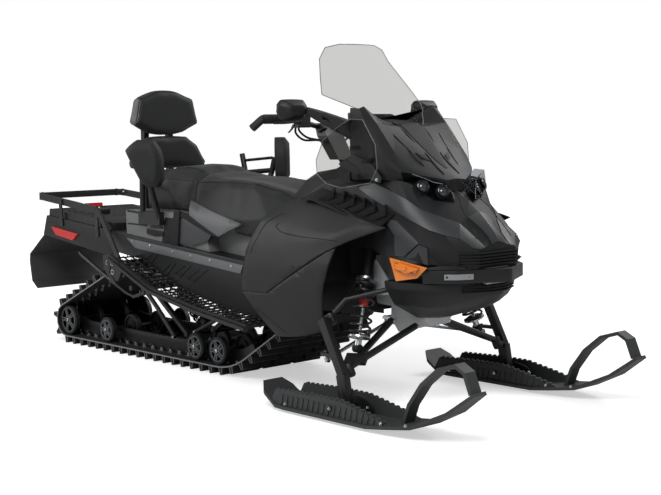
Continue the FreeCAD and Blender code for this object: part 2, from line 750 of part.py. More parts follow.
# Backrest, headrest, and the two posts behind them that stand on the deck
backrest_stations = [
    (-790, [(0, 1036), (95, 1034), (150, 998), (188, 915), (178, 895), (0, 893)]),
    (-748, [(0, 1044), (104, 1042), (168, 1002), (214, 915), (205, 886), (0, 884)]),
    (-712, [(0, 1044), (105, 1045), (172, 1000), (220, 914), (212, 890), (0, 888)]),
]
keep(shaped("backrest", hull(backrest_stations)), "backrest")
headrest_stations = [
    (-800, [(0, 1256), (52, 1254), (145, 1216), (172, 1105), (84, 1056), (0, 1046)]),
    (-752, [(0, 1266), (56, 1264), (160, 1226), (190, 1100), (92, 1051), (0, 1044.3)]),
    (-716, [(0, 1260), (56, 1258), (156, 1220), (184, 1100), (88, 1054), (0, 1044.3)]),
]
keep(shaped("headrest", hull(headrest_stations)), "headrest")
post_back = -800.3
post_rear = tunnel_rear_x + fit_gap
back_post_line = [
    (post_rear, tunnel_z(post_rear) + fit_gap), (post_rear, 1180),
    (post_back, 1180), (post_back, tunnel_z(post_back) + fit_gap),
]
seat_post = side_pad("seat_post", back_post_line, 56, 84)
post_bridge = block("post_bridge", (-826, -84, 950), (-790.3, 84, 1010))
seat_posts = fused("seat_posts", [seat_post, other_side(seat_post), post_bridge])

# Passenger's grab frames: a lever up from the seat box to each guard pad, with its upper horn
frame_root_y = side_clear + 15
guard_centre = (-350, frame_root_y + 102, 922)
guard_face = Vector(0.62, 0.78, 0)
frame_pieces = [
    block("frame_foot", (-560, side_clear + fit_gap, 640), (-390, side_clear + fit_gap + 26, 700)),
    bar("frame_lever", (-410, frame_root_y, 672), (-372, frame_root_y + 74, 850), 14),
    bar("frame_lever_upper", (-372, frame_root_y + 74, 850), (-356, frame_root_y + 84, 930), 13),
    bar("frame_arm", (-540, frame_root_y, 672), (-500, frame_root_y + 22, 860), 13),
    bar("frame_horn", (-502, frame_root_y + 20, 850), (-530, frame_root_y + 22, 948), 13),
    bar("frame_bridge", (-500, frame_root_y + 22, 858), (-372, frame_root_y + 74, 868), 12),
    bar("frame_rod", (-516, frame_root_y + 22, 916), (-380, frame_root_y + 88, 928), 7),
]
guard_outline = [
    (-80, -78), (-64, -104), (-22, -106), (11, -86), (54, -4), (82, 57),
    (63, 80), (26, 105), (-45, 100), (-69, 66), (-85, 15),
]
guard_across = Vector(-guard_face.y, guard_face.x, 0)
guard_ring = []
for reach, rise in guard_outline:
    guard_ring.append(v(*guard_centre) + guard_across * reach + Vector(0, 0, rise) + guard_face * 34)
guard_inner = [point - guard_face * 52 for point in guard_ring]
guard_middle = v(*guard_centre) + guard_face * 34
guard_edge = []
for point in guard_ring:
    guard_edge.append(guard_middle + (point - guard_middle) * 0.74 + guard_face * 20)
guard_rings = [guard_edge, guard_inner[::-1]]
for near, far in ((guard_edge, guard_ring), (guard_ring, guard_inner)):
    for index in range(len(near)):
        after = (index + 1) % len(near)
        guard_rings.append([near[index], far[index], far[after], near[after]])
guard_shape = closed_solid(guard_rings)
guard = shaped("guard_left", guard_shape)
frame_side = without("frame_side", fused("frame_tubes", frame_pieces), [guard])
keep(together("grab_frames", [frame_side, other_side(frame_side), seat_posts]), "grab_frames")
keep(both_sides("hand_guards", guard), "hand_guards")

# Hood: a rear block behind the nose, and the creased nose ahead of it, down to the fascia.
# Every section runs from the crown over the lamp ledge, the stripe's two edges and the side
# crease down to the fascia's lower edge.
hood_rear_x = 796.3
nose_rear_x = 1050
hood_stations = [
    (hood_rear_x, [(0, 858), (200, 858), (238, 840), (242, 830), (246, 800), (246, 604), (0, 604)]),
    (873, [(0, 858), (200, 858), (240, 832), (242, 825), (246, 790), (246, 604), (0, 604)]),
    (946, [(0, 858), (200, 858), (233, 846), (246, 790), (250, 750), (252, 604), (0, 604)]),
    (nose_rear_x, [(0, 858), (206, 858), (227, 812), (245, 750), (277, 721), (300, 592), (0, 592)]),
    (1100, [(0, 852), (204, 848), (210, 785), (234, 728), (266, 713), (298, 592), (0, 592)]),
    (1151, [(0, 812), (132, 786), (190, 750), (224, 704), (267, 678), (294, 592), (0, 592)]),
    (1209, [(0, 777), (72, 742), (145, 724), (212, 680), (268, 637), (277, 571), (0, 571)]),
    (1255, [(0, 738), (60, 722), (102, 701), (178, 661), (238, 617), (206, 556), (0, 556)]),
    (1300, [(0, 694), (38, 680), (76, 655), (150, 650), (158, 605), (154, 552), (0, 552)]),
    (1330, [(0, 664), (35, 652), (70, 630), (116, 616), (118, 607), (128, 545), (0, 545)]),
    (1346, [(0, 634), (34, 626), (68, 616), (96, 611), (100, 606), (106, 543), (0, 543)]),
]
hood_shape = hull(hood_stations)
lamp_ring = [
    (1104, 208, 886), (1168, 84, 846), (1161, 50, 827), (1186, 50, 773), (1158, 130, 784), (1114, 204, 846),
]
lamp_points = [v(*point) for point in lamp_ring]
lamp_solid = plate(lamp_points, Vector(-46, -6, 4))


def side_plate(points, depth):
    """A raised panel on the hood's left side: its outer ring, sunk towards the hood."""
    corners = [v(*point) for point in points]
    return plate(corners, depth)


def hood_line(index):
    """One crease of the nose as points from the back to the front."""
    return [v(x, *half[index]) for x, half in hood_stations]


upper_edge = hood_line(2)[1:]
lower_edge = hood_line(3)[1:]
stripe_out = Vector(1.6, 1.6, 2.2)
stripe_corners = [point + stripe_out for point in upper_edge + lower_edge]
stripe_faces = []
for index in range(len(upper_edge) - 1):
    low = len(upper_edge) + index
    stripe_faces.append([index, low, low + 1, index + 1])
stripe_left = skin(stripe_corners, stripe_faces, stripe_out * -0.88)
fin_points = [(1115, 299, 665), (1045, 283, 723), (1100, 271, 716), (1209, 274, 638), (1163, 298, 592), (1121, 302, 592)]
fin_left = side_plate(fin_points, Vector(0, -24, 0))
front_fin_points = [(1212, 274, 634), (1236, 255, 621), (1234, 250, 560), (1167, 293, 590)]
front_fin_left = side_plate(front_fin_points, Vector(-6, -22, 0))
ridge_line = [v(x, *half[0]) for x, half in hood_stations[7:]]
ridge_edge = [v(x, *half[1]) for x, half in hood_stations[7:]]
ridge_out = Vector(2, 0, 3)
ridge_corners = [point + ridge_out for point in ridge_line + ridge_edge]
ridge_faces = []
for index in range(len(ridge_line) - 1):
    low = len(ridge_line) + index
    ridge_faces.append([index, low, low + 1, index + 1])
ridge_left = skin(ridge_corners, ridge_faces, ridge_out * -0.9)

mirror_plane = (v(0, 0, 0), v(0, 1, 0))
left_pieces = [stripe_left, ridge_left]
for piece in (fin_left, front_fin_left):
    left_pieces += [solid for solid in piece.cut(hood_shape).Solids if solid.Volume > 200]
grey_pieces = left_pieces + [solid.mirror(*mirror_plane) for solid in left_pieces]
keep(shaped("hood", hood_shape), "hood")
keep(shaped("hood_stripes", Part.makeCompound(grey_pieces)), "hood_stripes")

# Belly pan under the nose
belly_stations = [
    (nose_rear_x, [(0, 497), (291, 497), (286, 470), (240, 402), (120, 340), (0, 326)]),
    (1118, [(0, 497), (294, 497), (290, 468), (236, 404), (130, 350), (0, 340)]),
    (1170, [(0, 496), (268, 494), (262, 464), (190, 395), (120, 362), (0, 356)]),
    (1230, [(0, 493), (238, 490), (232, 459), (152, 398), (90, 380), (0, 373)]),
    (1300, [(0, 490), (138, 490), (134, 452), (110, 430), (60, 408), (0, 403)]),
    (1344, [(0, 481), (42, 480), (40, 466), (36, 455), (30, 443), (0, 440)]),
]
belly_shape = hull(belly_stations)
keep(shaped("belly_pan", belly_shape), "belly_pan")

# Bulkhead, with the carrier that holds nose, belly and bumper, and a boss for the pitman's pin
bulkhead_stations = [
    (hood_rear_x, [(0, 603.7), (84, 603.7), (84, 380), (70, 340), (0, 340)]),
    (884, [(0, 603.7), (84, 603.7), (100, 320), (60, 262), (0, 262)]),
    (946, [(0, 603.7), (84, 603.7), (90, 324), (55, 278), (0, 278)]),
    (1030, [(0, 594), (84, 594), (78, 330), (50, 300), (0, 300)]),
    (nose_rear_x - 0.3, [(0, 591.7), (84, 591.7), (78, 330), (50, 300), (0, 300)]),
]
king_angle = math.radians(king_lean)
king_axis = v(-math.sin(king_angle), 0, math.cos(king_angle))
pitman_foot = v(852, 0, 306)
pitman_pin = size("pitman_pin", 9)
bulkhead_shape = hull(bulkhead_stations)
bulkhead_shape = bulkhead_shape.cut(Part.makeBox(190, 240, 170, v(700, -120, 200)))
bulkhead_shape = bulkhead_shape.fuse(Part.makeCylinder(20, 62, pitman_foot + king_axis * 18, king_axis))
pin_bore = float(pitman_pin + running_gap)
bulkhead_shape = bulkhead_shape.cut(Part.makeCylinder(pin_bore, 52, pitman_foot, king_axis))
carrier_line = [
    (1040, 497.3), (1040, 591.7), (1151, 591.7), (1209, 570.7), (1255, 555.7), (1300, 551.7), (1330, 544.7),
    (1345, 542.6), (1345, 482), (1300, 490.3), (1230, 493.3), (1170, 496.3), (1118, 497.3),
]
carrier_corners = [v(x, -60, z) for x, z in carrier_line]
carrier_corners.append(carrier_corners[0])
nose_carrier = Part.Face(Part.makePolygon(carrier_corners)).extrude(v(0, 120, 0))
bulkhead_shape = bulkhead_shape.fuse(nose_carrier)

# Bumper: a folded band round the nose
bumper_half = [(1214, 257), (1312, 184), (1406, 0), (1372, 0), (1296, 160), (1196, 240)]
bumper_plan = bumper_half[:2] + [(1406, 8), (1406, -8)] + [(1312, -184), (1214, -257), (1196, -240), (1296, -160)]
bumper_plan += [(1340, -54), (1340, 54), (1296, 160), (1196, 240)]
bumper_corners = [v(x, y, 492) for x, y in bumper_plan]
bumper_corners.append(bumper_corners[0])
bumper_shape = Part.Face(Part.makePolygon(bumper_corners)).extrude(v(0, 0, 49))
for piece in (hood_shape, belly_shape, bulkhead_shape):
    bumper_shape = bumper_shape.cut(piece)
bumper_shape = max(bumper_shape.Solids, key=lambda piece: piece.Volume)
keep(shaped("bumper", bumper_shape), "bumper")

# Grilles: level slats across the nose above the bumper and across the belly below it
slats = []
for number in range(5):
    z = 555 + 11 * number
    front = 1351
    slats.append(plank("slat_front", (front, -98, z), (front, 98, z), 14, 5))
    slats.append(plank("slat_left", (front + 1, 96, z), (1300, 158, z), 12, 5))
    slats.append(plank("slat_right", (front + 1, -96, z), (1300, -158, z), 12, 5))
for number in range(3):
    z = 456 + 10 * number
    slats.append(plank("low_slat_front", (1349, -40, z), (1349, 40, z), 14, 4))
    slats.append(plank("low_slat_left", (1350, 38, z), (1298, 140, z), 12, 4))
    slats.append(plank("low_slat_right", (1350, -38, z), (1298, -140, z), 12, 4))
grille_backs = [shaped("hood_backing", hood_shape), shaped("belly_backing", belly_shape)]
keep(without("grilles", fused("slats", slats), grille_backs), "grilles")

# Reflector plates under the hood's sides, each with an amber reflector
plate_points = [(1096, 306, 585), (1243, 262, 553), (1192, 262, 512), (1122, 300, 500)]
plate_left = side_plate(plate_points, Vector(-4, -9, 0))
amber_points = [(1116, 305, 566), (1214, 276, 548), (1196, 277, 530), (1138, 298, 535)]
amber_left = side_plate(amber_points, Vector(-6, -12, 0)).cut(plate_left)
plate_stay = Part.makeBox(60, 250, 12, v(1110, 50, 542))
plate_left = plate_left.fuse(plate_stay.cut(bulkhead_shape))
amber_left = amber_left.cut(plate_left)
reflector_pieces = [plate_left, plate_left.mirror(*mirror_plane)]
for solid in amber_left.Solids:
    if solid.Volume > 200:
        reflector_pieces.append(solid)
        reflector_pieces.append(solid.mirror(*mirror_plane))
reflector_shape = Part.makeCompound(reflector_pieces)
for piece in (hood_shape, belly_shape, bumper_shape, bulkhead_shape):
    reflector_shape = reflector_shape.cut(piece)
keep(shaped("reflectors", reflector_shape), "reflectors")

# Cowl round the instruments, over the hood's top and out to its beak between the lamps
cowl_rear_x = 804
cowl_stations = [
    (cowl_rear_x, [(0, 1088), (90, 1083), (190, 1122), (214, 1132), (222, 1060), (212, 858.3), (0, 858.3)]),
    (853, [(0, 1078), (90, 1073), (190, 1136), (214, 1128), (226, 1010), (214, 858.3), (0, 858.3)]),
    (920, [(0, 1060), (90, 1056), (190, 1072), (224, 1040), (230, 960), (215, 858.3), (0, 858.3)]),
    (1000, [(0, 985), (80, 981), (180, 966), (224, 940), (228, 914), (210, 858.3), (0, 858.3)]),
    (1050, [(0, 938), (70, 934), (150, 912), (196, 896), (198, 884), (190, 858.3), (0, 858.3)]),
    (1100, [(0, 898), (48, 894), (90, 886), (134, 876), (134, 872), (124, 850.1), (0, 852.3)]),
    (1150, [(0, 860), (14, 859), (34, 857), (50, 855), (50, 852), (40, 815), (0, 814)]),
]
cowl_shape = hull(cowl_stations)
keep(shaped("cowl", cowl_shape), "cowl")

# Headlights: a faceted lens each, with two round projector rims standing out of it
lens_left = lamp_solid
lamp_rims = []
lamp_out = Vector(0.83, 0.42, 0.36)
for x, y, z in ((1124, 160, 832), (1160, 90, 812)):
    centre = v(x, y, z)
    rim = Part.makeCylinder(26, 22, centre - lamp_out * 6, lamp_out)
    lamp_rims.append(rim.cut(Part.makeCylinder(20, 30, centre + lamp_out * 6, lamp_out)))
lens_left = lens_left.fuse(lamp_rims[0]).fuse(lamp_rims[1]).cut(hood_shape).cut(cowl_shape)
lens_left = max(lens_left.Solids, key=lambda piece: piece.Volume)
keep(shaped("headlights", Part.makeCompound([lens_left, lens_left.mirror(*mirror_plane)])), "headlights")


def shield_line(z, x_centre, half, sweep):
    """One level of the screen from right to left: its centre ahead, its sides swept back."""
    left = [v(x_centre, 0, z), v(x_centre - sweep * 0.25, half * 0.55, z), v(x_centre - sweep, half, z)]
    return mirrored_points(left[:0:-1]) + left


# Windshield: the clear screen, and a clear deflector at each side on two short pegs
screen_levels = [
    (1050, 926, 70, 14), (1115, 872, 160, 44), (1150, 842, 212, 78), (1185, 812, 255, 122), (1250, 762, 226, 112),
    (1328, 700, 188, 96), (1373, 664, 156, 62), (1387, 652, 96, 30),
]
screen_corners = []
for level in screen_levels:
    screen_corners += shield_line(*level)
screen_faces = []
line_count = 5
for level in range(len(screen_levels) - 1):
    for step in range(line_count - 1):
        low = level * line_count + step
        high = low + line_count
        screen_faces.append([low, low + 1, high + 1, high])
screen = skin(screen_corners, screen_faces, Vector(-4, 0, 0)).cut(cowl_shape)
screen = max(screen.Solids, key=lambda piece: piece.Volume)
deflector_line = [
    (704, 1010), (664, 935), (668, 880), (715, 845), (800, 829), (950, 850), (985, 905), (978, 990),
    (915, 1084), (851, 1088), (790, 1062),
]
deflector_corners = [v(x, 268 - 0.05 * (x - 640), z) for x, z in deflector_line]
deflector = plate(deflector_corners, Vector(0, 4, 0))
for x, z in ((860, 980), (930, 930)):
    deflector = deflector.fuse(Part.makeCylinder(8, 70, v(x, 200, z), v(0, 1, 0)))
deflector = deflector.cut(cowl_shape)
deflector = max(deflector.Solids, key=lambda piece: piece.Volume)
clear_pieces = [screen, deflector, deflector.mirror(*mirror_plane)]
keep(shaped("windshield", Part.makeCompound(clear_pieces)), "windshield")

# Mirrors on windowed stalks from the cowl's corners
stalk_line = [
    (612, 1128), (640, 1138), (700, 1122), (800, 1086), (838, 1070), (838, 1020), (800, 1012), (760, 1036), (650, 1098),
]
window_line = [(674, 1116), (724, 1104), (706, 1082)]
mirror_stalk = side_pad("mirror_stalk", stalk_line, -6, 6)
stalk_window = side_pad("stalk_window", window_line, -20, 20)
stalk = without("stalk", mirror_stalk, [stalk_window])
put(stalk, (0, 0, 0))
stalk.Placement = Placement(v(822, 208, 0), Rotation(Vector(0, 0, 1), -36)) * Placement(v(-822, 0, 0), Rotation())
mirror_head_stations = [
    (622, [(0, 1165), (50, 1163), (63, 1150), (66, 1120), (48, 1092), (0, 1088)]),
    (640, [(0, 1170), (55, 1167), (69, 1150), (70, 1118), (48, 1087), (0, 1083)]),
    (662, [(0, 1161), (46, 1158), (58, 1142), (56, 1114), (36, 1092), (0, 1089)]),
    (680, [(0, 1146), (26, 1143), (36, 1132), (34, 1114), (20, 1104), (0, 1102)]),
]
mirror_head = shaped("mirror_head", hull(mirror_head_stations))
put(mirror_head, (0, 364, 0))
cowl_copy = shaped("cowl_backing", cowl_shape.fuse(deflector))
mirror_arm = without("mirror_arm", stalk, [cowl_copy])
keep(both_sides("mirrors", fused("mirror_left", [mirror_arm, mirror_head])), "mirrors")

# Console between cowl and seat, with a bearing for the steering post at its foot
post_radius = size("post_radius", 14)
post_angle = math.radians(post_lean)
post_axis = v(-math.sin(post_angle), 0, math.cos(post_angle))
bar_centre = v(432, 0, 1052)
post_foot = bar_centre - post_axis * 400
console_floor = 670.3
console_stations = [
    (400.3, [(0, 836), (90, 831), (150, 797), (180, 730), (186, console_floor), (0, console_floor)]),
    (482, [(0, 886), (100, 882), (166, 850), (210, 770), (214, console_floor), (0, console_floor)]),
    (658, [(0, 906), (104, 904), (160, 898), (212, 850), (216, console_floor), (0, console_floor)]),
    (743, [(0, 962), (120, 958), (172, 930), (214, 860), (216, console_floor), (0, console_floor)]),
    (hood_rear_x - 0.3, [(0, 1012), (122, 1006), (190, 985), (214, 880), (216, console_floor), (0, console_floor)]),
]
console_shape = hull(console_stations)
wide_passage = Part.makeCylinder(float(post_radius) + 7, 420, post_foot + post_axis * 40, post_axis)
post_bearing = Part.makeCylinder(float(post_radius + fit_gap), 420, post_foot - post_axis * 2, post_axis)
console_shape = console_shape.cut(wide_passage).cut(post_bearing)
keep(shaped("console", console_shape), "console")

# Engine, as one plain block between the tunnel's front and the bulkhead
engine_front = 796
keep(block("engine_block", (tunnel_front_x + fit_gap, -210, 340), (engine_front, 210, 670)), "engine_block")


def side_prism(points, low, high):
    corners = [v(x, low, z) for x, z in points]
    corners.append(corners[0])
    return Part.Face(Part.makePolygon(corners)).extrude(v(0, high - low, 0))


# Side panels: an upper panel with a bulge crease and the lower panel round the footwell
pod_stations = [
    (300, [(300, 800), (345, 750), (385, 680), (412, 600), (428, 520), (432, 430), (415, 330), (385, 232)]),
    (520, [(300, 800), (342, 752), (392, 694), (416, 610), (430, 520), (433, 430), (415, 330), (385, 232)]),
    (712, [(300, 800), (330, 770), (402, 652), (410, 600), (424, 520), (430, 430), (415, 330), (385, 232)]),
    (882, [(306, 780), (330, 740), (400, 645), (402, 610), (414, 560), (420, 450), (400, 340), (370, 250)]),
    (1013, [(312, 755), (342, 726), (360, 712), (372, 650), (384, 600), (398, 500), (385, 400), (356, 275)]),
    (1140, [(318, 730), (335, 700), (345, 690), (355, 670), (365, 650), (372, 560), (360, 440), (340, 300)]),
]
pod_corners = []
for x, outline in pod_stations:
    pod_corners += [v(x, y, z) for y, z in outline]
pod_faces = []
per_station = len(pod_stations[0][1])
for station in range(len(pod_stations) - 1):
    for step in range(per_station - 1):
        low = station * per_station + step
        high = low + per_station
        pod_faces.append([low, low + 1, high + 1, high])
pod = skin(pod_corners, pod_faces, Vector(0, -float(panel_wall) - 1, 0))
upper_outline = [
    (382, 422), (398, 582), (441, 681), (494, 753), (557, 777), (624, 795), (712, 797), (844, 763), (964, 727),
    (1068, 708), (1121, 694), (980, 649), (870, 605), (744, 538), (537, 423),
]
lower_outline = [
    (382, 419), (538, 420), (746, 535), (872, 602), (906, 616), (850, 460), (833, 300), (723, 268), (598, 252),
    (549, 246), (434, 359),
]
upper_panel = pod.common(side_prism(upper_outline, 200, 500))
lower_panel = pod.common(side_prism(lower_outline, 200, 500))
rib_outlines = [
    [(520, 380), (520, 668), (560, 668), (560, 380)],
    [(740, 470), (740, 668), (780, 668), (780, 470)],
]
engine_side = 210.3
panel_solids = [upper_panel, lower_panel, upper_panel.mirror(*mirror_plane), lower_panel.mirror(*mirror_plane)]
keep(shaped("side_panels", Part.makeCompound(panel_solids)), "side_panels")
ribs = []
for outline in rib_outlines:
    rib = side_prism(outline, engine_side, 460)
    rib = rib.cut(pod)
    rib = [solid for solid in rib.Solids if solid.BoundBox.YMin < engine_side + 1][0]
    ribs += [rib, rib.mirror(*mirror_plane)]
keep(shaped("bulkhead", Part.makeCompound([bulkhead_shape] + ribs)), "bulkhead")

# Side vents: a sloping base between hood and side panel, with six chevrons standing on it
vent_ring = [(660, 236, 826), (1074, 250, 742), (1076, 330, 700), (964, 340, 722), (844, 340, 757), (712, 340, 790), (650, 340, 790)]
vent_base = plate([v(*point) for point in vent_ring], Vector(0, 0, -6))
vent_solids = [vent_base]
for number in range(6):
    x = 742 + 56 * number
    z = 814 - 11.6 * number
    peak = v(x + 34, 285, z - 12)
    for foot in (v(x, 246, z + 4), v(x - 6, 322, z - 34)):
        along = peak - foot
        run = along.Length
        along.normalize()
        side = Vector(0, 0, 1).cross(along)
        side.normalize()
        corners = []
        for shift, rise in ((-4, -10), (4, -10), (4, 12), (-4, 12)):
            corners.append(foot + side * shift + Vector(0, 0, rise))
        corners.append(corners[0])
        vent_solids.append(Part.Face(Part.makePolygon(corners)).extrude(along * run))
vents = vent_solids[0]
for piece in vent_solids[1:]:
    vents = vents.fuse(piece)
for piece in (hood_shape, upper_panel, cowl_shape, console_shape, fin_left, stripe_left):
    vents = vents.cut(piece)
vents = max(vents.Solids, key=lambda piece: piece.Volume)
keep(shaped("side_vents", Part.makeCompound([vents, vents.mirror(*mirror_plane)])), "side_vents")

# Front suspension. Both king axes and the pitman's axis lean back by the same angle, so that
# the arms and tie rods form a parallelogram.
pin_radius = size("pin_radius", 8)
eye_radius = size("eye_radius", 19)
tie_radius = size("tie_radius", 7)
tie_pin = size("tie_pin", 6)
shock_radius = size("shock_radius", 30)
king_foot = v(spindle_x - 20, king_y, 165)
king_head = king_foot + king_axis * 205
king_turn = Rotation(Vector(0, 0, 1), king_axis)


def round_king(label, centre, length, radius):
    """A cylinder along the king axis that starts at the centre point."""
    item = doc.addObject("Part::Cylinder", label)
    drive(item, "Radius", radius)
    drive(item, "Height", length)
    put(item, centre, king_turn)
    return item


def ball(label, centre, radius):
    item = doc.addObject("Part::Sphere", label)
    item.Radius = radius
    put(item, centre)
    return item


lower_eye = king_foot + king_axis * 8
upper_eye = king_head + king_axis * 8
lower_mid = lower_eye + king_axis * 11
upper_mid = upper_eye + king_axis * 9
front_inner_low = v(1010, 84, 302)
rear_inner_low = v(890, 96, 312)


def arm_with_eye(label, bars, centre, length):
    """An arm's bars, cleared round the king pin and closed by an eye."""
    room = round_king(label + "_room", centre - king_axis * 20, length + 40, eye_radius - 3)
    ring = round_king(label + "_eye", centre, length, eye_radius)
    bore = round_king(label + "_bore", centre - king_axis * 10, length + 20, pin_radius + fit_gap)
    cleared = without(label + "_cleared", fused(label + "_bars", bars), [room])
    return without(label, fused(label + "_closed", [cleared, ring]), [bore])


lower_bars = [
    bar("lower_front_leg", front_inner_low, lower_mid, 13),
    bar("lower_rear_leg", rear_inner_low, lower_mid, 13),
    plank("lower_web", (948, 330, 217), (975, 375, 190), 84, 12),
]
lower_arm = arm_with_eye("lower_arm", lower_bars, lower_eye, 22)
arm_bend = v(904, 350, 420)
upper_bars = [bar("upper_outer", upper_mid, arm_bend, 10), ball("upper_bend", arm_bend, 10)]
for name, knee, inner in (("front", v(1031, 225, 460), v(1028, 76, 456)), ("rear", v(846, 225, 460), v(848, 78, 456))):
    upper_bars.append(bar("upper_%s_leg" % name, arm_bend, knee, 10))
    upper_bars.append(bar("upper_%s_end" % name, knee, inner, 10))
    upper_bars.append(ball("upper_%s_knee" % name, knee, 10))
upper_arm = arm_with_eye("upper_arm", upper_bars, upper_eye, 18)
arm_backing = shaped("arm_backing", bulkhead_shape)
lower_seated = without("lower_arm_seated", lower_arm, [arm_backing])
upper_seated = without("upper_arm_seated", upper_arm, [arm_backing])
left_arms = together("left_arms", [lower_seated, upper_seated])
keep(both_sides("control_arms", left_arms), "control_arms")

# Front shocks between the bulkhead's top mounts and the lower arms
shock_top = v(902, 214, 590)
shock_foot = v(950, 334, 240)
along = (shock_foot - shock_top).normalize()
shock_pieces = [
    bar("shock_rod", shock_top, shock_foot, 12),
    bar("shock_sleeve", shock_top + along * 45, shock_foot - along * 55, shock_radius),
    plank("shock_mount", (898, 70, 584), (905, 226, 588), 26, 22),
]
shock_clear = without("shock_clear", fused("shock_bars", shock_pieces), [arm_backing])
shock = without("shock", shock_clear, [lower_arm])
keep(both_sides("front_shocks", shock), "front_shocks")

# Spindles: the leg stands outside the king axis and carries two ears with pins.
leg_y = half_stance - 2
steer_arm = v(-77, 20, 0)
steer_root = king_foot + king_axis * 70
steer_tip = steer_root + steer_arm
leg_head = v(king_head.x, leg_y, king_head.z)
leg_foot = v(king_foot.x, leg_y, king_foot.z)
forward = Vector(1, 0, 0)
spindle_pieces = [
    plank("spindle_leg", leg_head + king_axis * 12, leg_foot - king_axis * 6, 26, 34, forward),
    plank("spindle_toe", leg_foot - king_axis * 2, (spindle_x, leg_y, ski_bolt_z), 30, 42, forward),
]
ski_pin = doc.addObject("Part::Cylinder", "ski_pin")
drive(ski_pin, "Radius", pin_radius)
ski_pin.Height = 168
put(ski_pin, (spindle_x, half_stance - 84, ski_bolt_z), Rotation(Vector(1, 0, 0), -90))
spindle_pieces.append(ski_pin)
for name, centre, length in (("foot", king_foot, 22), ("head", king_head, 18)):
    spindle_pieces.append(round_king("ear_" + name, centre - king_axis * 7, 14, eye_radius))
    spindle_pieces.append(plank("ear_bar_" + name, centre, (centre.x, leg_y, centre.z), 32, 14, king_axis))
    spindle_pieces.append(round_king("king_pin_" + name, centre, length + 12, pin_radius))
arm_root = (steer_root.x, leg_y, steer_root.z)
spindle_pieces.append(plank("steer_arm", arm_root, (steer_tip.x, leg_y - 6, steer_tip.z), 26, 12))
spindle_pieces.append(round_king("steer_pin", steer_tip - king_axis * 36, 46, tie_pin))
spindle_pieces.append(round_king("steer_collar", steer_tip - king_axis * 8, 16, 14))
spindle = fused("spindle_left", spindle_pieces)
keep(spindle, "spindle_left")
keep(other_side(spindle), "spindle_right")

# Pitman arm under the engine, and the two tie rods
pitman_ends = [pitman_foot + v(steer_arm.x, side * steer_arm.y, 0) for side in (1, -1)]
pitman_pieces = [
    round_king("pitman_hub", pitman_foot - king_axis * 7, 14, 16),
    round_king("pitman_shaft", pitman_foot, 44, pitman_pin),
    plank("pitman_web", pitman_foot, pitman_foot + v(steer_arm.x, 0, 0), 66, 12),
]
for end in pitman_ends:
    pitman_pieces.append(round_king("pitman_end", end - king_axis * 36, 42, tie_pin))
keep(fused("pitman_arm", pitman_pieces), "pitman_arm")

tie_drop = 24
tie_inner = pitman_ends[0] - king_axis * tie_drop
tie_outer = steer_tip - king_axis * tie_drop
tie_along = (tie_outer - tie_inner).normalize()
tie_pieces = [bar("tie_bar", tie_inner + tie_along * 9, tie_outer - tie_along * 9, tie_radius)]
tie_bores = []
for name, end in (("inner", tie_inner), ("outer", tie_outer)):
    tie_pieces.append(round_king("tie_eye_" + name, end - king_axis * 7, 14, 13))
    tie_bores.append(round_king("tie_bore_" + name, end - king_axis * 30, 60, tie_pin + fit_gap))
tie_rod = without("tie_rod_left", fused("tie_rod_solid", tie_pieces), tie_bores)
keep(tie_rod, "tie_rod_left")
keep(other_side(tie_rod), "tie_rod_right")

# Skis: a sole that narrows to tail and tip, keel, side walls and a strap loop at the tip
ski_tail_x = overall_half - 1065
ski_sole = [
    (ski_tail_x, 96), (ski_tail_x + 50, 58), (ski_tail_x + 110, 24), (ski_tail_x + 610, 24),
    (overall_half - 255, 50), (overall_half - 115, 114), (overall_half - 7.2, 190),
]
half_ski = ski_width / 2
low_side = half_stance - half_ski
high_side = half_stance + half_ski
ski_blank = side_pad("ski_blank", bent_strip(ski_sole, 12), low_side, high_side)
ski_plan_half = [
    (ski_tail_x - 1, 46), (ski_tail_x + 34, 74), (ski_tail_x + 170, half_ski), (ski_tail_x + 700, half_ski),
    (overall_half - 275, half_ski - 10), (overall_half - 175, 60), (overall_half - 85, 42), (overall_half + 1, 30),
]
ski_plan = [(x, half_stance - reach) for x, reach in ski_plan_half]
ski_plan += [(x, half_stance + reach) for x, reach in reversed(ski_plan_half)]
ski_taper = plan_pad("ski_taper", ski_plan, 0, 260)
ski_sole_shape = doc.addObject("Part::Common", "ski_sole")
ski_sole_shape.Base = ski_blank
ski_sole_shape.Tool = ski_taper
ski_sole_shape.Refine = False
ski_pieces = [ski_sole_shape]
keel_rear_x = ski_tail_x + 110
keel_front_x = ski_tail_x + 610
keel_line = [
    (keel_rear_x, 14), (keel_front_x + 10, 14), (keel_front_x + 30, 12), (keel_front_x, 0), (keel_rear_x, 0),
]
ski_pieces.append(side_pad("ski_keel", keel_line, half_stance - 12, half_stance + 12))
wall_line = [
    (ski_tail_x + 80, 36), (keel_rear_x, 84), (keel_rear_x + 200, 92), (keel_rear_x + 360, 92), (keel_front_x, 66),
    (keel_front_x + 120, 40), (keel_front_x + 120, 36), (keel_front_x, 18), (keel_rear_x + 20, 18),
]
for side, name in ((-1, "inner"), (1, "outer")):
    middle = half_stance + 70 * side
    ski_pieces.append(side_pad("ski_wall_" + name, wall_line, middle - 5, middle + 5))
strap_line = [
    (overall_half - 345, 30), (overall_half - 312, 110), (overall_half - 250, 190), (overall_half - 172, 252),
    (overall_half - 92, 276), (overall_half - 46, 252), (overall_half - 18, 184),
]
strap_half = 25
ski_pieces.append(
    side_pad("ski_strap", bent_strip(strap_line, 14), half_stance - strap_half, half_stance + strap_half)
)
pivot_bore = doc.addObject("Part::Cylinder", "pivot_bore")
drive(pivot_bore, "Radius", pin_radius + fit_gap)
drive(pivot_bore, "Height", ski_width + 40)
put(pivot_bore, (spindle_x, low_side - 20, ski_bolt_z), Rotation(Vector(1, 0, 0), -90))
ski_left = without("ski_left", fused("ski_solid", ski_pieces), [pivot_bore])
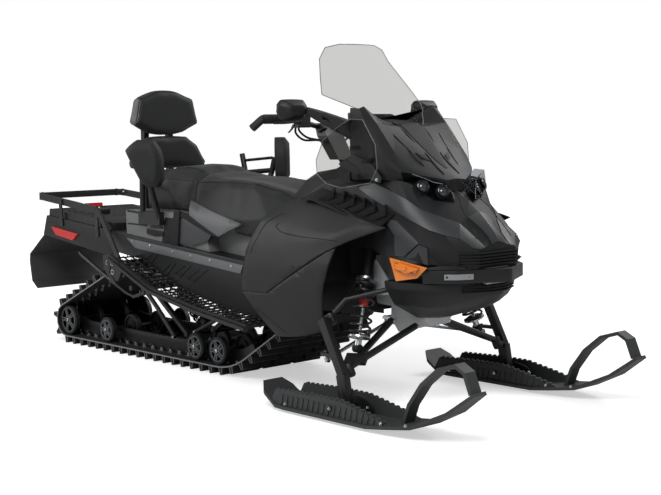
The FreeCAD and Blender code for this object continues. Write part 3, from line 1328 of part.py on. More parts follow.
keep(ski_left, "ski_left")
keep(other_side(ski_left), "ski_right")

# Steering post, riser, bar and grips
post = doc.addObject("Part::Cylinder", "steering_post")
drive(post, "Radius", post_radius)
post.Height = 400
put(post, post_foot, Rotation(Vector(0, 0, 1), post_axis))
keep(post, "steering_post")
riser_rings = []
for level, depth, width in ((-150, 28, 42), (-30, 30, 46), (14, 22, 40)):
    middle = bar_centre + post_axis * level
    corners = [middle + v(a * depth, b * width, 0) for a, b in ((-1, -1), (1, -1), (1, 1), (-1, 1), (-1, -1))]
    riser_rings.append(Part.makePolygon(corners))
riser = shaped("riser", Part.makeLoft(riser_rings, True, True))
bar_pieces = [riser, bar("bar_middle", bar_centre + v(0, -60, 16), bar_centre + v(0, 60, 16), 12)]
grips = []
for side, name in ((1, "left"), (-1, "right")):
    bend = bar_centre + v(0, side * 60, 16)
    knee = v(444, side * 205, 1098)
    tip = v(452, side * 360, 1097)
    hook_end = (440, side * 402, 1062)
    bar_pieces.append(bar("bar_bend_" + name, bend, knee, 11))
    bar_pieces.append(bar("bar_end_" + name, knee, tip, 11))
    bar_pieces.append(ball("bar_knee_" + name, knee, 12.5))
    grip_pieces = [bar("grip_" + name, knee + (tip - knee) * 0.15, tip, 17), bar("grip_hook_" + name, tip, hook_end, 16)]
    bar_pieces.append(block("control_pod_" + name, (424, side * 150 - 26, 1062), (470, side * 150 + 26, 1122)))
    core = bar("grip_core_" + name, knee, tip, 11)
    grips.append(without("grip_tube_" + name, fused("grip_solid_" + name, grip_pieces), [core]))
post_room = doc.addObject("Part::Cylinder", "post_room")
drive(post_room, "Radius", post_radius)
post_room.Height = 200
put(post_room, bar_centre - post_axis * 200, Rotation(Vector(0, 0, 1), post_axis))
keep(without("handlebar", fused("bar_solid", bar_pieces), [post_room]), "handlebar")
keep(together("grips", grips), "grips")


def check_document():
    for item in doc.Objects:
        if "Invalid" in item.State or "Error" in item.State:
            raise RuntimeError("object failed: " + item.Label)
    bad = []
    for item in nodes:
        shape = item.Shape
        if shape.isNull() or not shape.isValid() or not shape.Solids:
            bad.append(item.Label)
    if bad:
        raise RuntimeError("bad shapes: " + ", ".join(bad))


doc.recompute()
check_document()
os.makedirs("parts", exist_ok=True)
for item in nodes:
    item.Shape.exportStep("parts/%s.step" % item.Label)
    print(item.Label, len(item.Shape.Solids), "solids", round(item.Shape.Volume / 1e6, 2), "l")
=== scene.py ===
# %% [markdown]
# A two-seat utility snowmobile, dressed for a picture.
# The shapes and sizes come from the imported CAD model, which this script loads as a fixed
# frame. Here the pieces get their real surfaces, and the small things that only a picture
# needs: bolt heads, coils, piping, grooves and open gratings.

# %% Load the frame
import json
import math
import bmesh
import bpy
from mathutils import Matrix, Vector


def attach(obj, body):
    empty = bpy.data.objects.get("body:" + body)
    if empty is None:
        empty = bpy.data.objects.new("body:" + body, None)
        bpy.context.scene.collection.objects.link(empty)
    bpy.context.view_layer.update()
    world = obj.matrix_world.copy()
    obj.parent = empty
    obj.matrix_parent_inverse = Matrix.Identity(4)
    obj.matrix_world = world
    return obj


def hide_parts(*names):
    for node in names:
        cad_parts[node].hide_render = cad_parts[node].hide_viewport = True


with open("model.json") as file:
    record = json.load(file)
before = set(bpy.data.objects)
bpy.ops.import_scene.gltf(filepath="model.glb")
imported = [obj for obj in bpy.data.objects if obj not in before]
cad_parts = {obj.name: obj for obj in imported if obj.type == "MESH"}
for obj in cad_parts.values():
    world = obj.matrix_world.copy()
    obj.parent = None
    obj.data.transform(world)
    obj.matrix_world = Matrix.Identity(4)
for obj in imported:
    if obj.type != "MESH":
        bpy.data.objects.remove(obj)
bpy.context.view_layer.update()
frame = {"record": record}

# %% [markdown]
# Nearly every material below is a Principled shader with one or two textures behind it.
# A single function that adds a node, sets its values and joins its inputs keeps them short.
# Colours are written as sRGB hex, as on a paint card, and turned into linear light once.

# %% Helpers for materials
MM = 0.001
GRAIN_RELIEF_MM = 0.4
PATCH_MM = 60


def linear(code):
    """A hex colour such as 2a2b2d as linear RGBA."""
    channels = [int(code[place:place + 2], 16) / 255 for place in (0, 2, 4)]
    return [c / 12.92 if c <= 0.04045 else ((c + 0.055) / 1.055) ** 2.4 for c in channels] + [1.0]


def add(tree, kind, settings=None, **inputs):
    """Add a node. Settings are its own properties; an input takes a value or another node's socket."""
    node = tree.nodes.new(kind)
    for name, value in (settings or {}).items():
        setattr(node, name, value)
    for name, value in inputs.items():
        by_number = name[0] == "i" and name[1:].isdigit()
        socket = node.inputs[int(name[1:]) if by_number else name.replace("_", " ")]
        if isinstance(value, bpy.types.NodeSocket):
            tree.links.new(value, socket)
        else:
            socket.default_value = value
    return node


def surface(name, colour, roughness, metallic=0.0, grain_mm=0.0, grain_depth=0.0, patchy=0.0, **extra):
    """A Principled surface with an optional moulded grain and an optional faint patchiness of its shine."""
    material = bpy.data.materials.new(name)
    material.use_nodes = True
    tree = material.node_tree
    shader = tree.nodes["Principled BSDF"]
    shader.inputs["Base Color"].default_value = linear(colour)
    shader.inputs["Roughness"].default_value = roughness
    shader.inputs["Metallic"].default_value = metallic
    for key, value in extra.items():
        shader.inputs[key.replace("_", " ")].default_value = value
    place = add(tree, "ShaderNodeTexCoord")
    if grain_mm:
        grain = add(tree, "ShaderNodeTexNoise", Vector=place.outputs["Object"], Scale=1 / (grain_mm * MM), Detail=2.0)
        bump = add(tree, "ShaderNodeBump", Height=grain.outputs["Fac"], Strength=grain_depth,
                   Distance=GRAIN_RELIEF_MM * MM)
        tree.links.new(bump.outputs["Normal"], shader.inputs["Normal"])
    if patchy:
        cloud = add(tree, "ShaderNodeTexNoise", Vector=place.outputs["Object"], Scale=1 / (PATCH_MM * MM), Detail=3.0)
        shine = add(tree, "ShaderNodeMapRange", Value=cloud.outputs["Fac"],
                    i3=max(roughness - patchy, 0.02), i4=min(roughness + patchy, 1.0))
        tree.links.new(shine.outputs["Result"], shader.inputs["Roughness"])
    return material


print("helpers ready")

# %% [markdown]
# The machine is almost all black, and it reads only because each black is another stuff.
# Painted panels have an even sheen, moulded covers a grained one, vinyl is soft and dull,
# rubber duller still, and powder-coated tubes sit in between. So each gets its own roughness
# and its own small-scale surface. Real grain on such parts is 0.1 to 0.3 mm across. It is
# drawn five to ten times coarser, because nothing finer shows in the picture.

# %% Plastics
# Hood and cowl: an even, soft sheen along the edges.
satin_panel = surface("satin_painted_plastic", "131416", 0.54, patchy=0.05, Specular_IOR_Level=0.32)
# Grained covers: a broken, slightly lower sheen.
moulded_black = surface("moulded_polypropylene", "101112", 0.5, grain_mm=1.2, grain_depth=0.18, patchy=0.06,
                        Specular_IOR_Level=0.4)
# Vents and trim: hardly any highlight, so they recede.
dull_black = surface("plain_black_moulding", "0f0f10", 0.62, grain_mm=1.6, grain_depth=0.25, Specular_IOR_Level=0.3)
# The box under the seat: an even mid grey.
box_grey = surface("grey_box_moulding", "646566", 0.5, grain_mm=1.4, grain_depth=0.15)
# Hood stripes: a dark grey with a faint metallic glint.
silver_stripe = surface("satin_grey_paint", "313234", 0.42, metallic=0.2, patchy=0.04)
# Small mouldings: one step paler than their surroundings.
grey_fin = surface("mid_grey_moulding", "2f3033", 0.42, grain_mm=1.4, grain_depth=0.12)
# Skis: a waxy grey black, scuffed by use.
ski_black = surface("ski_polyethylene", "38393a", 0.56, grain_mm=2.2, grain_depth=0.2, patchy=0.06,
                    Specular_IOR_Level=0.3)
# Wheel bodies: a dry, filled plastic.
wheel_black = surface("glass_filled_nylon", "131415", 0.5, grain_mm=1.4, grain_depth=0.15)
# Wheel rims: unpainted and a little shiny.
rim_grey = surface("bare_nylon_rim", "4e5053", 0.5, patchy=0.05)
print("plastics ready")

# %% Rubbers and seat covers
# The track: the dullest black of all.
track_rubber = surface("track_rubber", "101011", 0.74, grain_mm=2.4, grain_depth=0.35, patchy=0.08)
# Grips, boots and piping: fine and matt.
soft_rubber = surface("moulded_rubber", "131415", 0.66, grain_mm=1.8, grain_depth=0.2)
# Edges of the belt and lugs: pale and dry.
pale_edge_rubber = surface("pale_rubber_edge", "7d7e80", 0.7, grain_mm=2.4, grain_depth=0.2)
# Seat covers: a soft grain with a faint sheen at grazing angles.
seat_vinyl = surface("seat_vinyl", "18191b", 0.58, grain_mm=2.6, grain_depth=0.35, Sheen_Weight=0.08,
                     Specular_IOR_Level=0.4)
# The paler panels of the seats.
seat_grey_vinyl = surface("grey_seat_vinyl", "4f5052", 0.5, grain_mm=2.6, grain_depth=0.3, Sheen_Weight=0.1)
# The flap: stiff, greyed rubber.
flap_rubber = surface("flap_rubber", "38383a", 0.6, grain_mm=2.4, grain_depth=0.2)
# Bump stops: plain bright red.
red_rubber = surface("red_bump_rubber", "a32620", 0.5)
print("soft surfaces ready")

# %% Metals
# Tubes and brackets: powder coat with a fine orange peel.
coated_steel = surface("powder_coated_steel", "121314", 0.48, grain_mm=1.0, grain_depth=0.22, patchy=0.05)
# Bolts and rods: small bright glints.
bolt_steel = surface("zinc_plated_steel", "c3c5c8", 0.28, metallic=1.0, patchy=0.06)
# Castings: light grey, grainy and unpolished.
bare_aluminium = surface("sand_cast_aluminium", "b9bbbd", 0.55, metallic=0.25, grain_mm=1.5, grain_depth=0.4)
# The strip on the tunnel: a flat metallic grey.
brushed_strip = surface("anodised_aluminium", "6e7072", 0.45, metallic=0.5, patchy=0.05)
# The plain engine block: dark rough casting.
engine_metal = surface("cast_engine_block", "1b1c1d", 0.6, metallic=0.3, grain_mm=2.0, grain_depth=0.4)
# The blank tag: dull plated sheet.
tag_metal = surface("blank_tag_metal", "8c8e90", 0.45, metallic=0.3)
# Coils: painted, with a thin bright line along the wire.
spring_black = surface("painted_spring_steel", "141516", 0.34, patchy=0.05)
print("metals ready")


# %% Clear and coloured plastics
def clear_plastic(name, tint, shadow):
    """Thin clear plastic: light goes straight through and is dimmed by the tint, and shadows stay soft."""
    material = surface(name, tint, 0.0, IOR=1.01, Transmission_Weight=1.0)
    tree = material.node_tree
    rays = add(tree, "ShaderNodeLightPath")
    solid = add(tree, "ShaderNodeMapRange", Value=rays.outputs["Is Shadow Ray"], i3=1.0, i4=shadow)
    tree.links.new(solid.outputs["Result"], tree.nodes["Principled BSDF"].inputs["Alpha"])
    return material


# The screen: faintly smoked, seen mostly by its edges.
screen_clear = clear_plastic("tinted_acrylic", "cdcdcb", 0.12)
# Headlight covers: grey, with the lamps just showing.
lamp_lens = clear_plastic("smoked_polycarbonate", "8a8c8f", 0.3)
# Rims of the clear sheets, where light is caught.
screen_edge = surface("acrylic_edge", "6a6c6b", 0.4)
# Rear lamps: red with a clear skin.
red_lens = surface("red_reflex_plastic", "c62822", 0.25, Coat_Weight=0.3)
# Projector domes: dark and mirror-smooth.
lamp_glass = surface("lamp_glass_dome", "26292d", 0.04, Specular_IOR_Level=1.0)
# Side reflectors: warm orange with a clear skin.
amber_lens = surface("amber_reflex_plastic", "e07a1e", 0.2, Coat_Weight=0.4)
# Painted highlights on the lamp rims: bright plated lines.
lamp_highlight_chrome = surface("painted_highlight_chrome", "cfd2d6", 0.12, metallic=1.0)
# Lamp rings: the same plating, darkened.
smoked_chrome = surface("smoked_chrome", "4b4e52", 0.14, metallic=1.0)
# Mirrors: a clean reflection.
mirror_glass = surface("silvered_glass", "e4e7ea", 0.04, metallic=1.0)
print("clear plastics ready")

# %% [markdown]
# Every CAD node takes one of these surfaces as it stands. A node that is modelled again
# below, with rounded edges or stuffing, is set to be replaced there.

# %% A surface for every CAD node
node_surface = {}
for finish, nodes in (
    (coated_steel, "slide_rails rear_suspension running_boards tunnel cargo_rack grab_frames control_arms"),
    (coated_steel, "front_shocks spindle_left spindle_right steering_post handlebar"),
    (moulded_black, "rear_deck belly_pan bumper mirrors console side_panels"),
    (seat_vinyl, "rider_seat passenger_seat backrest headrest"), (dull_black, "grilles side_vents"),
    (bolt_steel, "drive_axle pitman_arm tie_rod_left tie_rod_right"), (ski_black, "ski_left ski_right"),
    (satin_panel, "hood cowl"), (soft_rubber, "hand_guards grips"), (track_rubber, "track"),
    (wheel_black, "idler_wheels"), (red_lens, "tail_lamps"), (flap_rubber, "snow_flap"), (box_grey, "seat_base"),
    (silver_stripe, "hood_stripes"), (grey_fin, "reflectors"), (lamp_lens, "headlights"),
    (screen_clear, "windshield"), (engine_metal, "engine_block"), (bare_aluminium, "bulkhead"),
):
    for node in nodes.split():
        node_surface[node] = finish
cad = {}
for name, finish in node_surface.items():
    cad[name] = bpy.data.objects[name]
    cad[name].data.materials.clear()
    cad[name].data.materials.append(finish)
print("nodes dressed:", len(cad))

# %% [markdown]
# Small parts are gathered in millimetres as rings of points that are joined into skins. One
# class holds the few ways to do it: a loft, a round rod along a path, a turned profile and
# a padded outline. The machine is symmetric, so most of them are drawn once and mirrored.

# %% A gatherer for meshes
class Shape:
    """Vertices and faces in millimetres, gathered before they become one piece."""

    def __init__(self):
        self.points = []
        self.faces = []

    def loft(self, rings, caps=True, loop=False):
        """Join closed rings of equal count; a loop also joins the last ring to the first."""
        count = len(rings[0])
        base = len(self.points)
        for ring in rings:
            self.points += [Vector(point) for point in ring]
        spans = len(rings) if loop else len(rings) - 1
        for level in range(spans):
            low = base + level * count
            high = base + (level + 1) % len(rings) * count
            for step in range(count):
                after = (step + 1) % count
                self.faces.append((low + step, low + after, high + after, high + step))
        if caps and not loop:
            self.faces.append(tuple(range(base, base + count))[::-1])
            last = base + (len(rings) - 1) * count
            self.faces.append(tuple(range(last, last + count)))
        return self

    def tube(self, path, radius, sides=8, loop=False):
        """A round rod along a path."""
        path = [Vector(point) for point in path]
        side = None
        rings = []
        for index, point in enumerate(path):
            before = path[index - 1] if index or loop else point
            after = path[(index + 1) % len(path)] if index + 1 < len(path) or loop else point
            along = (after - before).normalized()
            if side is None:
                side = along.orthogonal().normalized()
            side = (side - along * side.dot(along)).normalized()
            up = along.cross(side)
            rings.append(round_ring(point, side, up, radius, sides))
        return self.loft(rings, loop=loop)

    def pad(self, outline, thrust):
        """A flat outline pushed along a vector."""
        near = [Vector(point) for point in outline]
        return self.loft([near, [point + Vector(thrust) for point in near]])

    def plate(self, outline, y, depth):
        """A flat (x, z) outline that stands at y and is as thick as depth."""
        return self.pad([(x, y, z) for x, z in outline], (0, depth, 0))

    def frame(self, outline, centre, share, y, depth):
        """A flat frame inside an (x, z) outline: a share of the way from the centre stays open."""
        corners = [Vector(corner) for corner in outline]
        for start, end in zip(corners, corners[1:] + corners[:1]):
            self.plate([start, end, centre + (end - centre) * share, centre + (start - centre) * share], y, depth)

    def strip(self, line, y1, y2, rise, drop):
        """A four-sided bar along an (x, z) line."""
        return self.loft([[(x, y1, z + rise), (x, y2, z + rise), (x, y2, z - drop), (x, y1, z - drop)]
                          for x, z in line])

    def turned(self, centre, axis, profile, sides=16):
        """A profile of (radius, reach) turned about an axis."""
        axis = Vector(axis).normalized()
        side = axis.orthogonal().normalized()
        up = axis.cross(side)
        return self.loft([round_ring(Vector(centre) + axis * reach, side, up, radius, sides)
                          for radius, reach in profile])

    def both(self):
        """Add the mirror image of everything so far."""
        base = len(self.points)
        self.points += [Vector((point.x, -point.y, point.z)) for point in self.points]
        self.faces += [tuple(base + corner for corner in reversed(face)) for face in list(self.faces)]
        return self

    def skin(self, angle, soften=0.0):
        """The faces as a bmesh: normals outwards, edges softened, shaded smooth below an angle."""
        draft = bpy.data.meshes.new("draft")
        draft.from_pydata([tuple(point * MM) for point in self.points], [], self.faces)
        work = bmesh.new()
        work.from_mesh(draft)
        bpy.data.meshes.remove(draft)
        bmesh.ops.recalc_face_normals(work, faces=work.faces)
        if soften:
            bevel_sharp(work, soften, angle)
        shade(work, angle)
        return work

    def piece(self, name, material, body="chassis", angle=35, soften=0.0):
        """Make a piece of what was gathered."""
        return settle(name, mesh_of(self.skin(angle, soften), name), material, body)


def round_ring(centre, side, up, radius, sides):
    """Points set evenly round a centre."""
    turns = [2 * math.pi * step / sides for step in range(sides)]
    return [centre + (side * math.cos(turn) + up * math.sin(turn)) * radius for turn in turns]


def mesh_of(work, name):
    """A bmesh written out as a mesh."""
    mesh = bpy.data.meshes.new(name)
    work.to_mesh(mesh)
    work.free()
    return mesh


def bevel_sharp(work, width, angle):
    """Round the edges that turn by more than an angle."""
    limit = math.radians(angle)
    sharp = [edge for edge in work.edges if len(edge.link_faces) == 2 and edge.calc_face_angle(0) > limit]
    bmesh.ops.bevel(work, geom=sharp, offset=width * MM, offset_type="OFFSET", segments=2, profile=0.6,
                    affect="EDGES", clamp_overlap=True)


def shade(work, angle):
    """Smooth faces, with the edges above an angle kept crisp."""
    for face in work.faces:
        face.smooth = True
    for edge in work.edges:
        edge.smooth = len(edge.link_faces) == 2 and edge.calc_face_angle(0) < math.radians(angle)


def settle(name, mesh, material, body):
    """Link a finished mesh as a piece that rides on a body."""
    mesh.materials.clear()
    mesh.materials.append(material)
    piece = bpy.data.objects.new(name, mesh)
    bpy.context.collection.objects.link(piece)
    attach(piece, body)
    return piece


print("shape tools ready")

# %% [markdown]
# A CAD node is never changed. Where its corners should be rounded, its mesh is copied, its
# triangles are joined again, and the copy stands in for it.

# %% Rounded copies of CAD nodes
node_body = {}
for body_name, members in frame["record"]["behaviour"]["bodies"].items():
    for member in members:
        node_body[member] = body_name


def clean_copy(node):
    """A node's mesh with its doubles merged and flat neighbours joined."""
    merge_mm, flat_degrees = 0.03, 0.6
    work = bmesh.new()
    work.from_mesh(cad[node].data)
    bmesh.ops.remove_doubles(work, verts=work.verts, dist=merge_mm * MM)
    bmesh.ops.dissolve_limit(work, angle_limit=math.radians(flat_degrees), verts=work.verts, edges=work.edges)
    return work


def drawn_in(node, depth):
    """A node's clean mesh with its skin moved inwards."""
    work = clean_copy(node)
    bmesh.ops.triangulate(work, faces=work.faces)
    work.normal_update()
    for vertex in work.verts:
        vertex.co -= vertex.normal * depth * MM
    return work


def stand_in(work, node, ending):
    """Show a reworked copy in place of its CAD node."""
    name = node + ending
    piece = settle(name, mesh_of(work, name), node_surface[node], node_body[node])
    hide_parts(node)
    return piece


def rounded(node, width):
    """A copy of a node with its sharp edges rounded."""
    work = clean_copy(node)
    bevel_sharp(work, width, 24)
    shade(work, 32)
    stand_in(work, node, "_rounded")


def moulded(node):
    """A copy of a node as a smooth moulding: its soft edges flow, its sharp ones stay."""
    soft_below, firm_below, firm_crease, sharp_crease = 26, 60, 0.8, 0.92
    work = clean_copy(node)
    bmesh.ops.join_triangles(work, faces=[face for face in work.faces if len(face.verts) == 3],
                             angle_face_threshold=math.radians(24), angle_shape_threshold=math.radians(60))
    crease = work.edges.layers.float.new("crease_edge")
    for edge in work.edges:
        turn = math.degrees(edge.calc_face_angle(0)) if len(edge.link_faces) == 2 else 90
        edge[crease] = 0.0 if turn < soft_below else (firm_crease if turn < firm_below else sharp_crease)
    for face in work.faces:
        face.smooth = True
    piece = stand_in(work, node, "_moulded")
    smooth = piece.modifiers.new("smooth_skin", "SUBSURF")
    smooth.levels = smooth.render_levels = 2


def recessed(node, depth):
    """A copy of a clear node drawn in by a hair, so that it doesn't share a face with its neighbour."""
    work = drawn_in(node, depth)
    shade(work, 30)
    stand_in(work, node, "_clear")


for node in ("windshield", "headlights"):
    recessed(node, 0.5)
for node, width in (("hood", 5), ("cowl", 5), ("belly_pan", 5), ("bumper", 5), ("console", 7), ("seat_base", 4),
                    ("rear_deck", 2.5), ("tunnel", 1.5), ("cargo_rack", 2), ("bulkhead", 4), ("hood_stripes", 1),
                    ("engine_block", 6), ("snow_flap", 2), ("reflectors", 1.2), ("slide_rails", 1.5),
                    ("rear_suspension", 1.5), ("spindle_left", 3), ("spindle_right", 3), ("control_arms", 1.5)):
    rounded(node, width)
for node in ("side_panels", "mirrors", "hand_guards"):
    moulded(node)
print("CAD nodes rounded")

# %% [markdown]
# The seats, the backrest and the headrest are foam under vinyl. Each starts a little smaller
# than its CAD solid, is blown up gently by the cloth solver, and is held to a few millimetres
# of travel, so that the flat faces swell and the corners stay where they are. A last
# smoothing takes out the creases, since the real covers are stretched tight.

# %% Stuffed seats
def bake(piece):
    """Replace a piece's mesh with its modified one."""
    graph = bpy.context.evaluated_depsgraph_get()
    fresh = bpy.data.meshes.new_from_object(piece.evaluated_get(graph))
    piece.modifiers.clear()
    piece.data = fresh


def stuffed(node, cap, voxel):
    """A padded piece in place of a CAD cushion. The cap is how far its skin may travel, in millimetres."""
    slack_mm, moments, smoothings = 4, 20, 24
    name = node + "_padded"
    piece = settle(name, mesh_of(drawn_in(node, slack_mm), name), seat_vinyl, node_body[node])
    remesh = piece.modifiers.new("even_mesh", "REMESH")
    remesh.mode = "VOXEL"
    remesh.voxel_size = voxel * MM
    bake(piece)
    start = [vertex.co.copy() for vertex in piece.data.vertices]
    stuffing = piece.modifiers.new("stuffing", "CLOTH")
    stuffing.settings.quality = 4
    stuffing.settings.mass = 0.3
    stuffing.settings.use_pressure = True
    stuffing.settings.uniform_pressure_force = 2.5
    stuffing.settings.effector_weights.gravity = 0.0
    stuffing.point_cache.frame_start = 1
    stuffing.point_cache.frame_end = moments
    for moment in range(1, moments + 1):
        bpy.context.scene.frame_set(moment)
    bake(piece)
    for vertex, rest in zip(piece.data.vertices, start):
        travel = vertex.co - rest
        if travel.length > cap * MM:
            vertex.co = rest + travel.normalized() * cap * MM
    bpy.context.scene.frame_set(1)
    ease = piece.modifiers.new("ease", "SMOOTH")
    ease.factor = 0.5
    ease.iterations = smoothings
    bake(piece)
    for polygon in piece.data.polygons:
        polygon.use_smooth = True
    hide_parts(node)
    return piece


rider = stuffed("rider_seat", 7, 6)
passenger = stuffed("passenger_seat", 7, 6)
back = stuffed("backrest", 6, 5)
head = stuffed("headrest", 5, 5)
print("stuffed pieces:", [len(piece.data.vertices) for piece in (rider, passenger, back, head)], "vertices")

# %% [markdown]
# Seams are laid on the finished skin: each line is cut into short steps, dropped to the
# nearest point of the cushion and covered with thin piping. The wedge at the lower flank of
# the rider's seat and the edges of the headrest are sewn from a paler grey vinyl.

# %% Seams, piping and grey panels
def on_skin(piece, line, lift, step=14):
    """A line in millimetres dropped to the nearest skin of a piece."""
    laid = []
    for start, end in zip(line, line[1:]):
        start, end = Vector(start), Vector(end)
        count = max(int((end - start).length / step), 1)
        for number in range(count):
            laid.append(start.lerp(end, number / count))
    laid.append(Vector(line[-1]))
    skin = []
    for point in laid:
        found, place, normal, face = piece.closest_point_on_mesh(point * MM)
        skin.append(place / MM + normal * lift)
    return skin


def repaint(piece, material, chosen):
    """Give the faces that pass a test another material."""
    piece.data.materials.append(material)
    for polygon in piece.data.polygons:
        if chosen(polygon.center / MM, polygon.normal):
            polygon.material_index = len(piece.data.materials) - 1


def in_wedge(spot, normal):
    """The paler part of the rider's seat: its lower flank, behind the knee."""
    on_flank = abs(normal.y) > 0.25 and abs(spot.y) > 150
    return on_flank and -262 < spot.x < 90 and spot.z < 747 - 0.224 * (spot.x + 228)


bpy.context.view_layer.update()
repaint(rider, seat_grey_vinyl, in_wedge)
repaint(head, seat_grey_vinyl, lambda spot, normal: abs(normal.y) > 0.62 and spot.z > 1062)
piping = Shape()
for side in (1, -1):
    top_seam = [(-246, 192, 836), (-120, 190, 846), (4, 182, 848), (150, 158, 840), (303, 136, 808), (392, 124, 772)]
    panel_seam = [(-238, 226, 750), (-120, 238, 723), (4, 245, 695), (100, 246, 674), (184, 240, 655)]
    rear_seam = [(-243, 196, 832), (-240, 212, 770), (-238, 224, 720), (-236, 214, 688)]
    for line in (top_seam, panel_seam, rear_seam):
        piping.tube(on_skin(rider, [(x, y * side, z) for x, y, z in line], 0.8), 2.2, 6)
    skirt = [(-705, 184, 850), (-600, 202, 856), (-500, 206, 854), (-430, 204, 850), (-365, 199, 846),
             (-262, 190, 842)]
    inner = [(-690, 148, 872), (-560, 156, 884), (-450, 150, 893), (-370, 136, 900), (-270, 122, 884)]
    for line in (skirt, inner):
        piping.tube(on_skin(passenger, [(x, y * side, z) for x, y, z in line], 0.6), 1.8, 6)
piping.tube(on_skin(passenger, [(-455, -148, 893), (-450, 0, 901), (-455, 148, 893)], 0.6), 1.8, 6)
for piece, x, half in (
    (head, -722, [(56, 1264), (160, 1226), (190, 1100), (92, 1051)]),
    (head, -790, [(56, 1258), (150, 1220), (178, 1103), (88, 1054)]),
    (back, -716, [(105, 1045), (172, 1000), (220, 914), (212, 890)]),
):
    ring = [(x, y, z) for y, z in half] + [(x, -y, z) for y, z in reversed(half)]
    piping.tube(on_skin(piece, ring + ring[:1], 0.6)[:-1], 2.2, 6, loop=True)
piping.piece("seat_piping", soft_rubber, angle=60)
wedge = Shape()
rows = []
for (x1, y1, z1), (x2, y2, z2) in (((-226, 232, 752), (-193, 264, 688)), ((-150, 239, 735), (-120, 266, 660)),
                                   ((-60, 246, 712), (-45, 267, 630)), ((10, 249, 697), (17, 267, 606)),
                                   ((80, 251, 681), (84, 264, 633)), ((150, 250, 666), (152, 256, 657))):
    swell = ((x1 + x2) / 2, (y1 + y2) / 2 + 6, (z1 + z2) / 2)
    rows.append([(x1, y1 - 12, z1), (x1, y1, z1 + 2), swell, (x2, y2, z2), (x2, y2 - 12, z2)])
wedge.loft(rows)
wedge.both().piece("seat_grey_wedges", seat_grey_vinyl, angle=70, soften=2.0)
print("seams laid")

# %% [markdown]
# The belt of the track follows four rounds. The same walk along it places a pale edge along
# the belt, a pale line round each lug's end and the steel guide clips on the inside.

# %% Track trim
belt_rounds = [(-1328, 115, 77), (-50, 438, 400), (330, 300, 86), (-800, 362, 55)]
belt_runs = []
turns = []
for index, (x1, z1, r1) in enumerate(belt_rounds):
    x2, z2, r2 = belt_rounds[(index + 1) % 4]
    turns.append(math.atan2(z2 - z1, x2 - x1) - math.acos((r1 - r2) / math.hypot(x2 - x1, z2 - z1)))
for index, (x, z, r) in enumerate(belt_rounds):
    arrive, leave = turns[index - 1], turns[index]
    while leave < arrive:
        leave += 2 * math.pi
    belt_runs.append((r * (leave - arrive), (x, z, r), arrive, leave - arrive))
    x2, z2, r2 = belt_rounds[(index + 1) % 4]
    start = Vector((x + r * math.cos(leave), z + r * math.sin(leave)))
    end = Vector((x2 + r2 * math.cos(leave), z2 + r2 * math.sin(leave)))
    belt_runs.append(((end - start).length, (start, end), leave, None))
belt_length = sum(run[0] for run in belt_runs)
lug_count = 54
lug_pitch = belt_length / lug_count


def belt_point(along, out, y):
    """A point on the belt, at a distance along it and moved outwards."""
    along %= belt_length
    for length, data, angle, sweep in belt_runs:
        if along <= length:
            break
        along -= length
    if sweep is None:
        spot = data[0].lerp(data[1], along / length)
        return Vector((spot.x + out * math.cos(angle), y, spot.y + out * math.sin(angle)))
    turn = angle + sweep * along / length
    return Vector((data[0] + (data[2] + out) * math.cos(turn), y, data[1] + (data[2] + out) * math.sin(turn)))


pale_belt_edge, clips = Shape(), Shape()
edge_section = ((0.2, 249.6), (6.2, 249.6), (6.2, 251), (0.2, 251))
lug_outline = ((-11, 7), (-5.5, 37.5), (5.5, 37.5), (11, 7))
clip_outline = ((-15, 0.4), (-5, -15), (5, -15), (15, 0.4))
pale_belt_edge.loft([[belt_point(lug_pitch * step / 2, out, y) for out, y in edge_section]
                for step in range(lug_count * 2)], loop=True)
for lug in range(lug_count):
    pale_belt_edge.tube([belt_point(lug * lug_pitch + offset, out, 250.6) for offset, out in lug_outline], 1.3, 4)
    for y in (150, 184):
        clips.pad([belt_point((lug + 0.5) * lug_pitch + offset, out, y) for offset, out in clip_outline], (0, 3, 0))
pale_belt_edge.both().piece("track_worn_edge", pale_edge_rubber, angle=50)
clips.both().piece("track_guide_clips", bolt_steel, angle=50)
print("belt", round(belt_length), "mm")

# %% Wheel rims, hubs and axle bolts
rims, tyres, hubs = Shape(), Shape(), Shape()
for x, z, radius in ((-1328, 115, 77), (-967, 100, 62), (-229, 100, 62), (-60, 100, 62)):
    tyres.turned((x, 218, z), (0, 1, 0),
                 [(radius - 12, 12), (radius - 11, 14.2), (radius - 4, 14.6), (radius - 0.6, 10)], 40)
    rims.turned((x, 218, z), (0, 1, 0),
                [(radius - 19, 12.6), (radius - 18.5, 15.2), (radius - 13, 15.2), (radius - 12, 12.6)], 40)
    for number in range(5):
        turn = math.radians(72 * number + 36)
        arm = Vector((math.cos(turn), 0, math.sin(turn)))
        across = Vector((-math.sin(turn), 0, math.cos(turn)))
        middle = Vector((x, 230.6, z))
        foot, tip = middle + arm * 16, middle + arm * (radius - 17)
        outline = [foot - across * 7, tip - across * 11, tip - across * 5, foot, tip + across * 5, tip + across * 11,
                   foot + across * 7]
        rims.pad(outline, (0, 3.4, 0))
    rims.turned((x, 218, z), (0, 1, 0), [(21, 12.6), (20, 16.6), (13, 17.4), (12, 14)], 24)
    hubs.turned((x, 218, z), (0, 1, 0), [(9, 13), (8.6, 20), (6, 21.5)], 6)
tyres.both().piece("wheel_tyres", track_rubber)
rims.both().piece("wheel_rims", rim_grey)
hubs.both().piece("wheel_hubs", bolt_steel)
print("wheels trimmed")

# %% [markdown]
# Small forms that come in numbers are set out by Geometry Nodes: one form on every spot,
# its axis along the spot's direction, each turned at random about that axis.

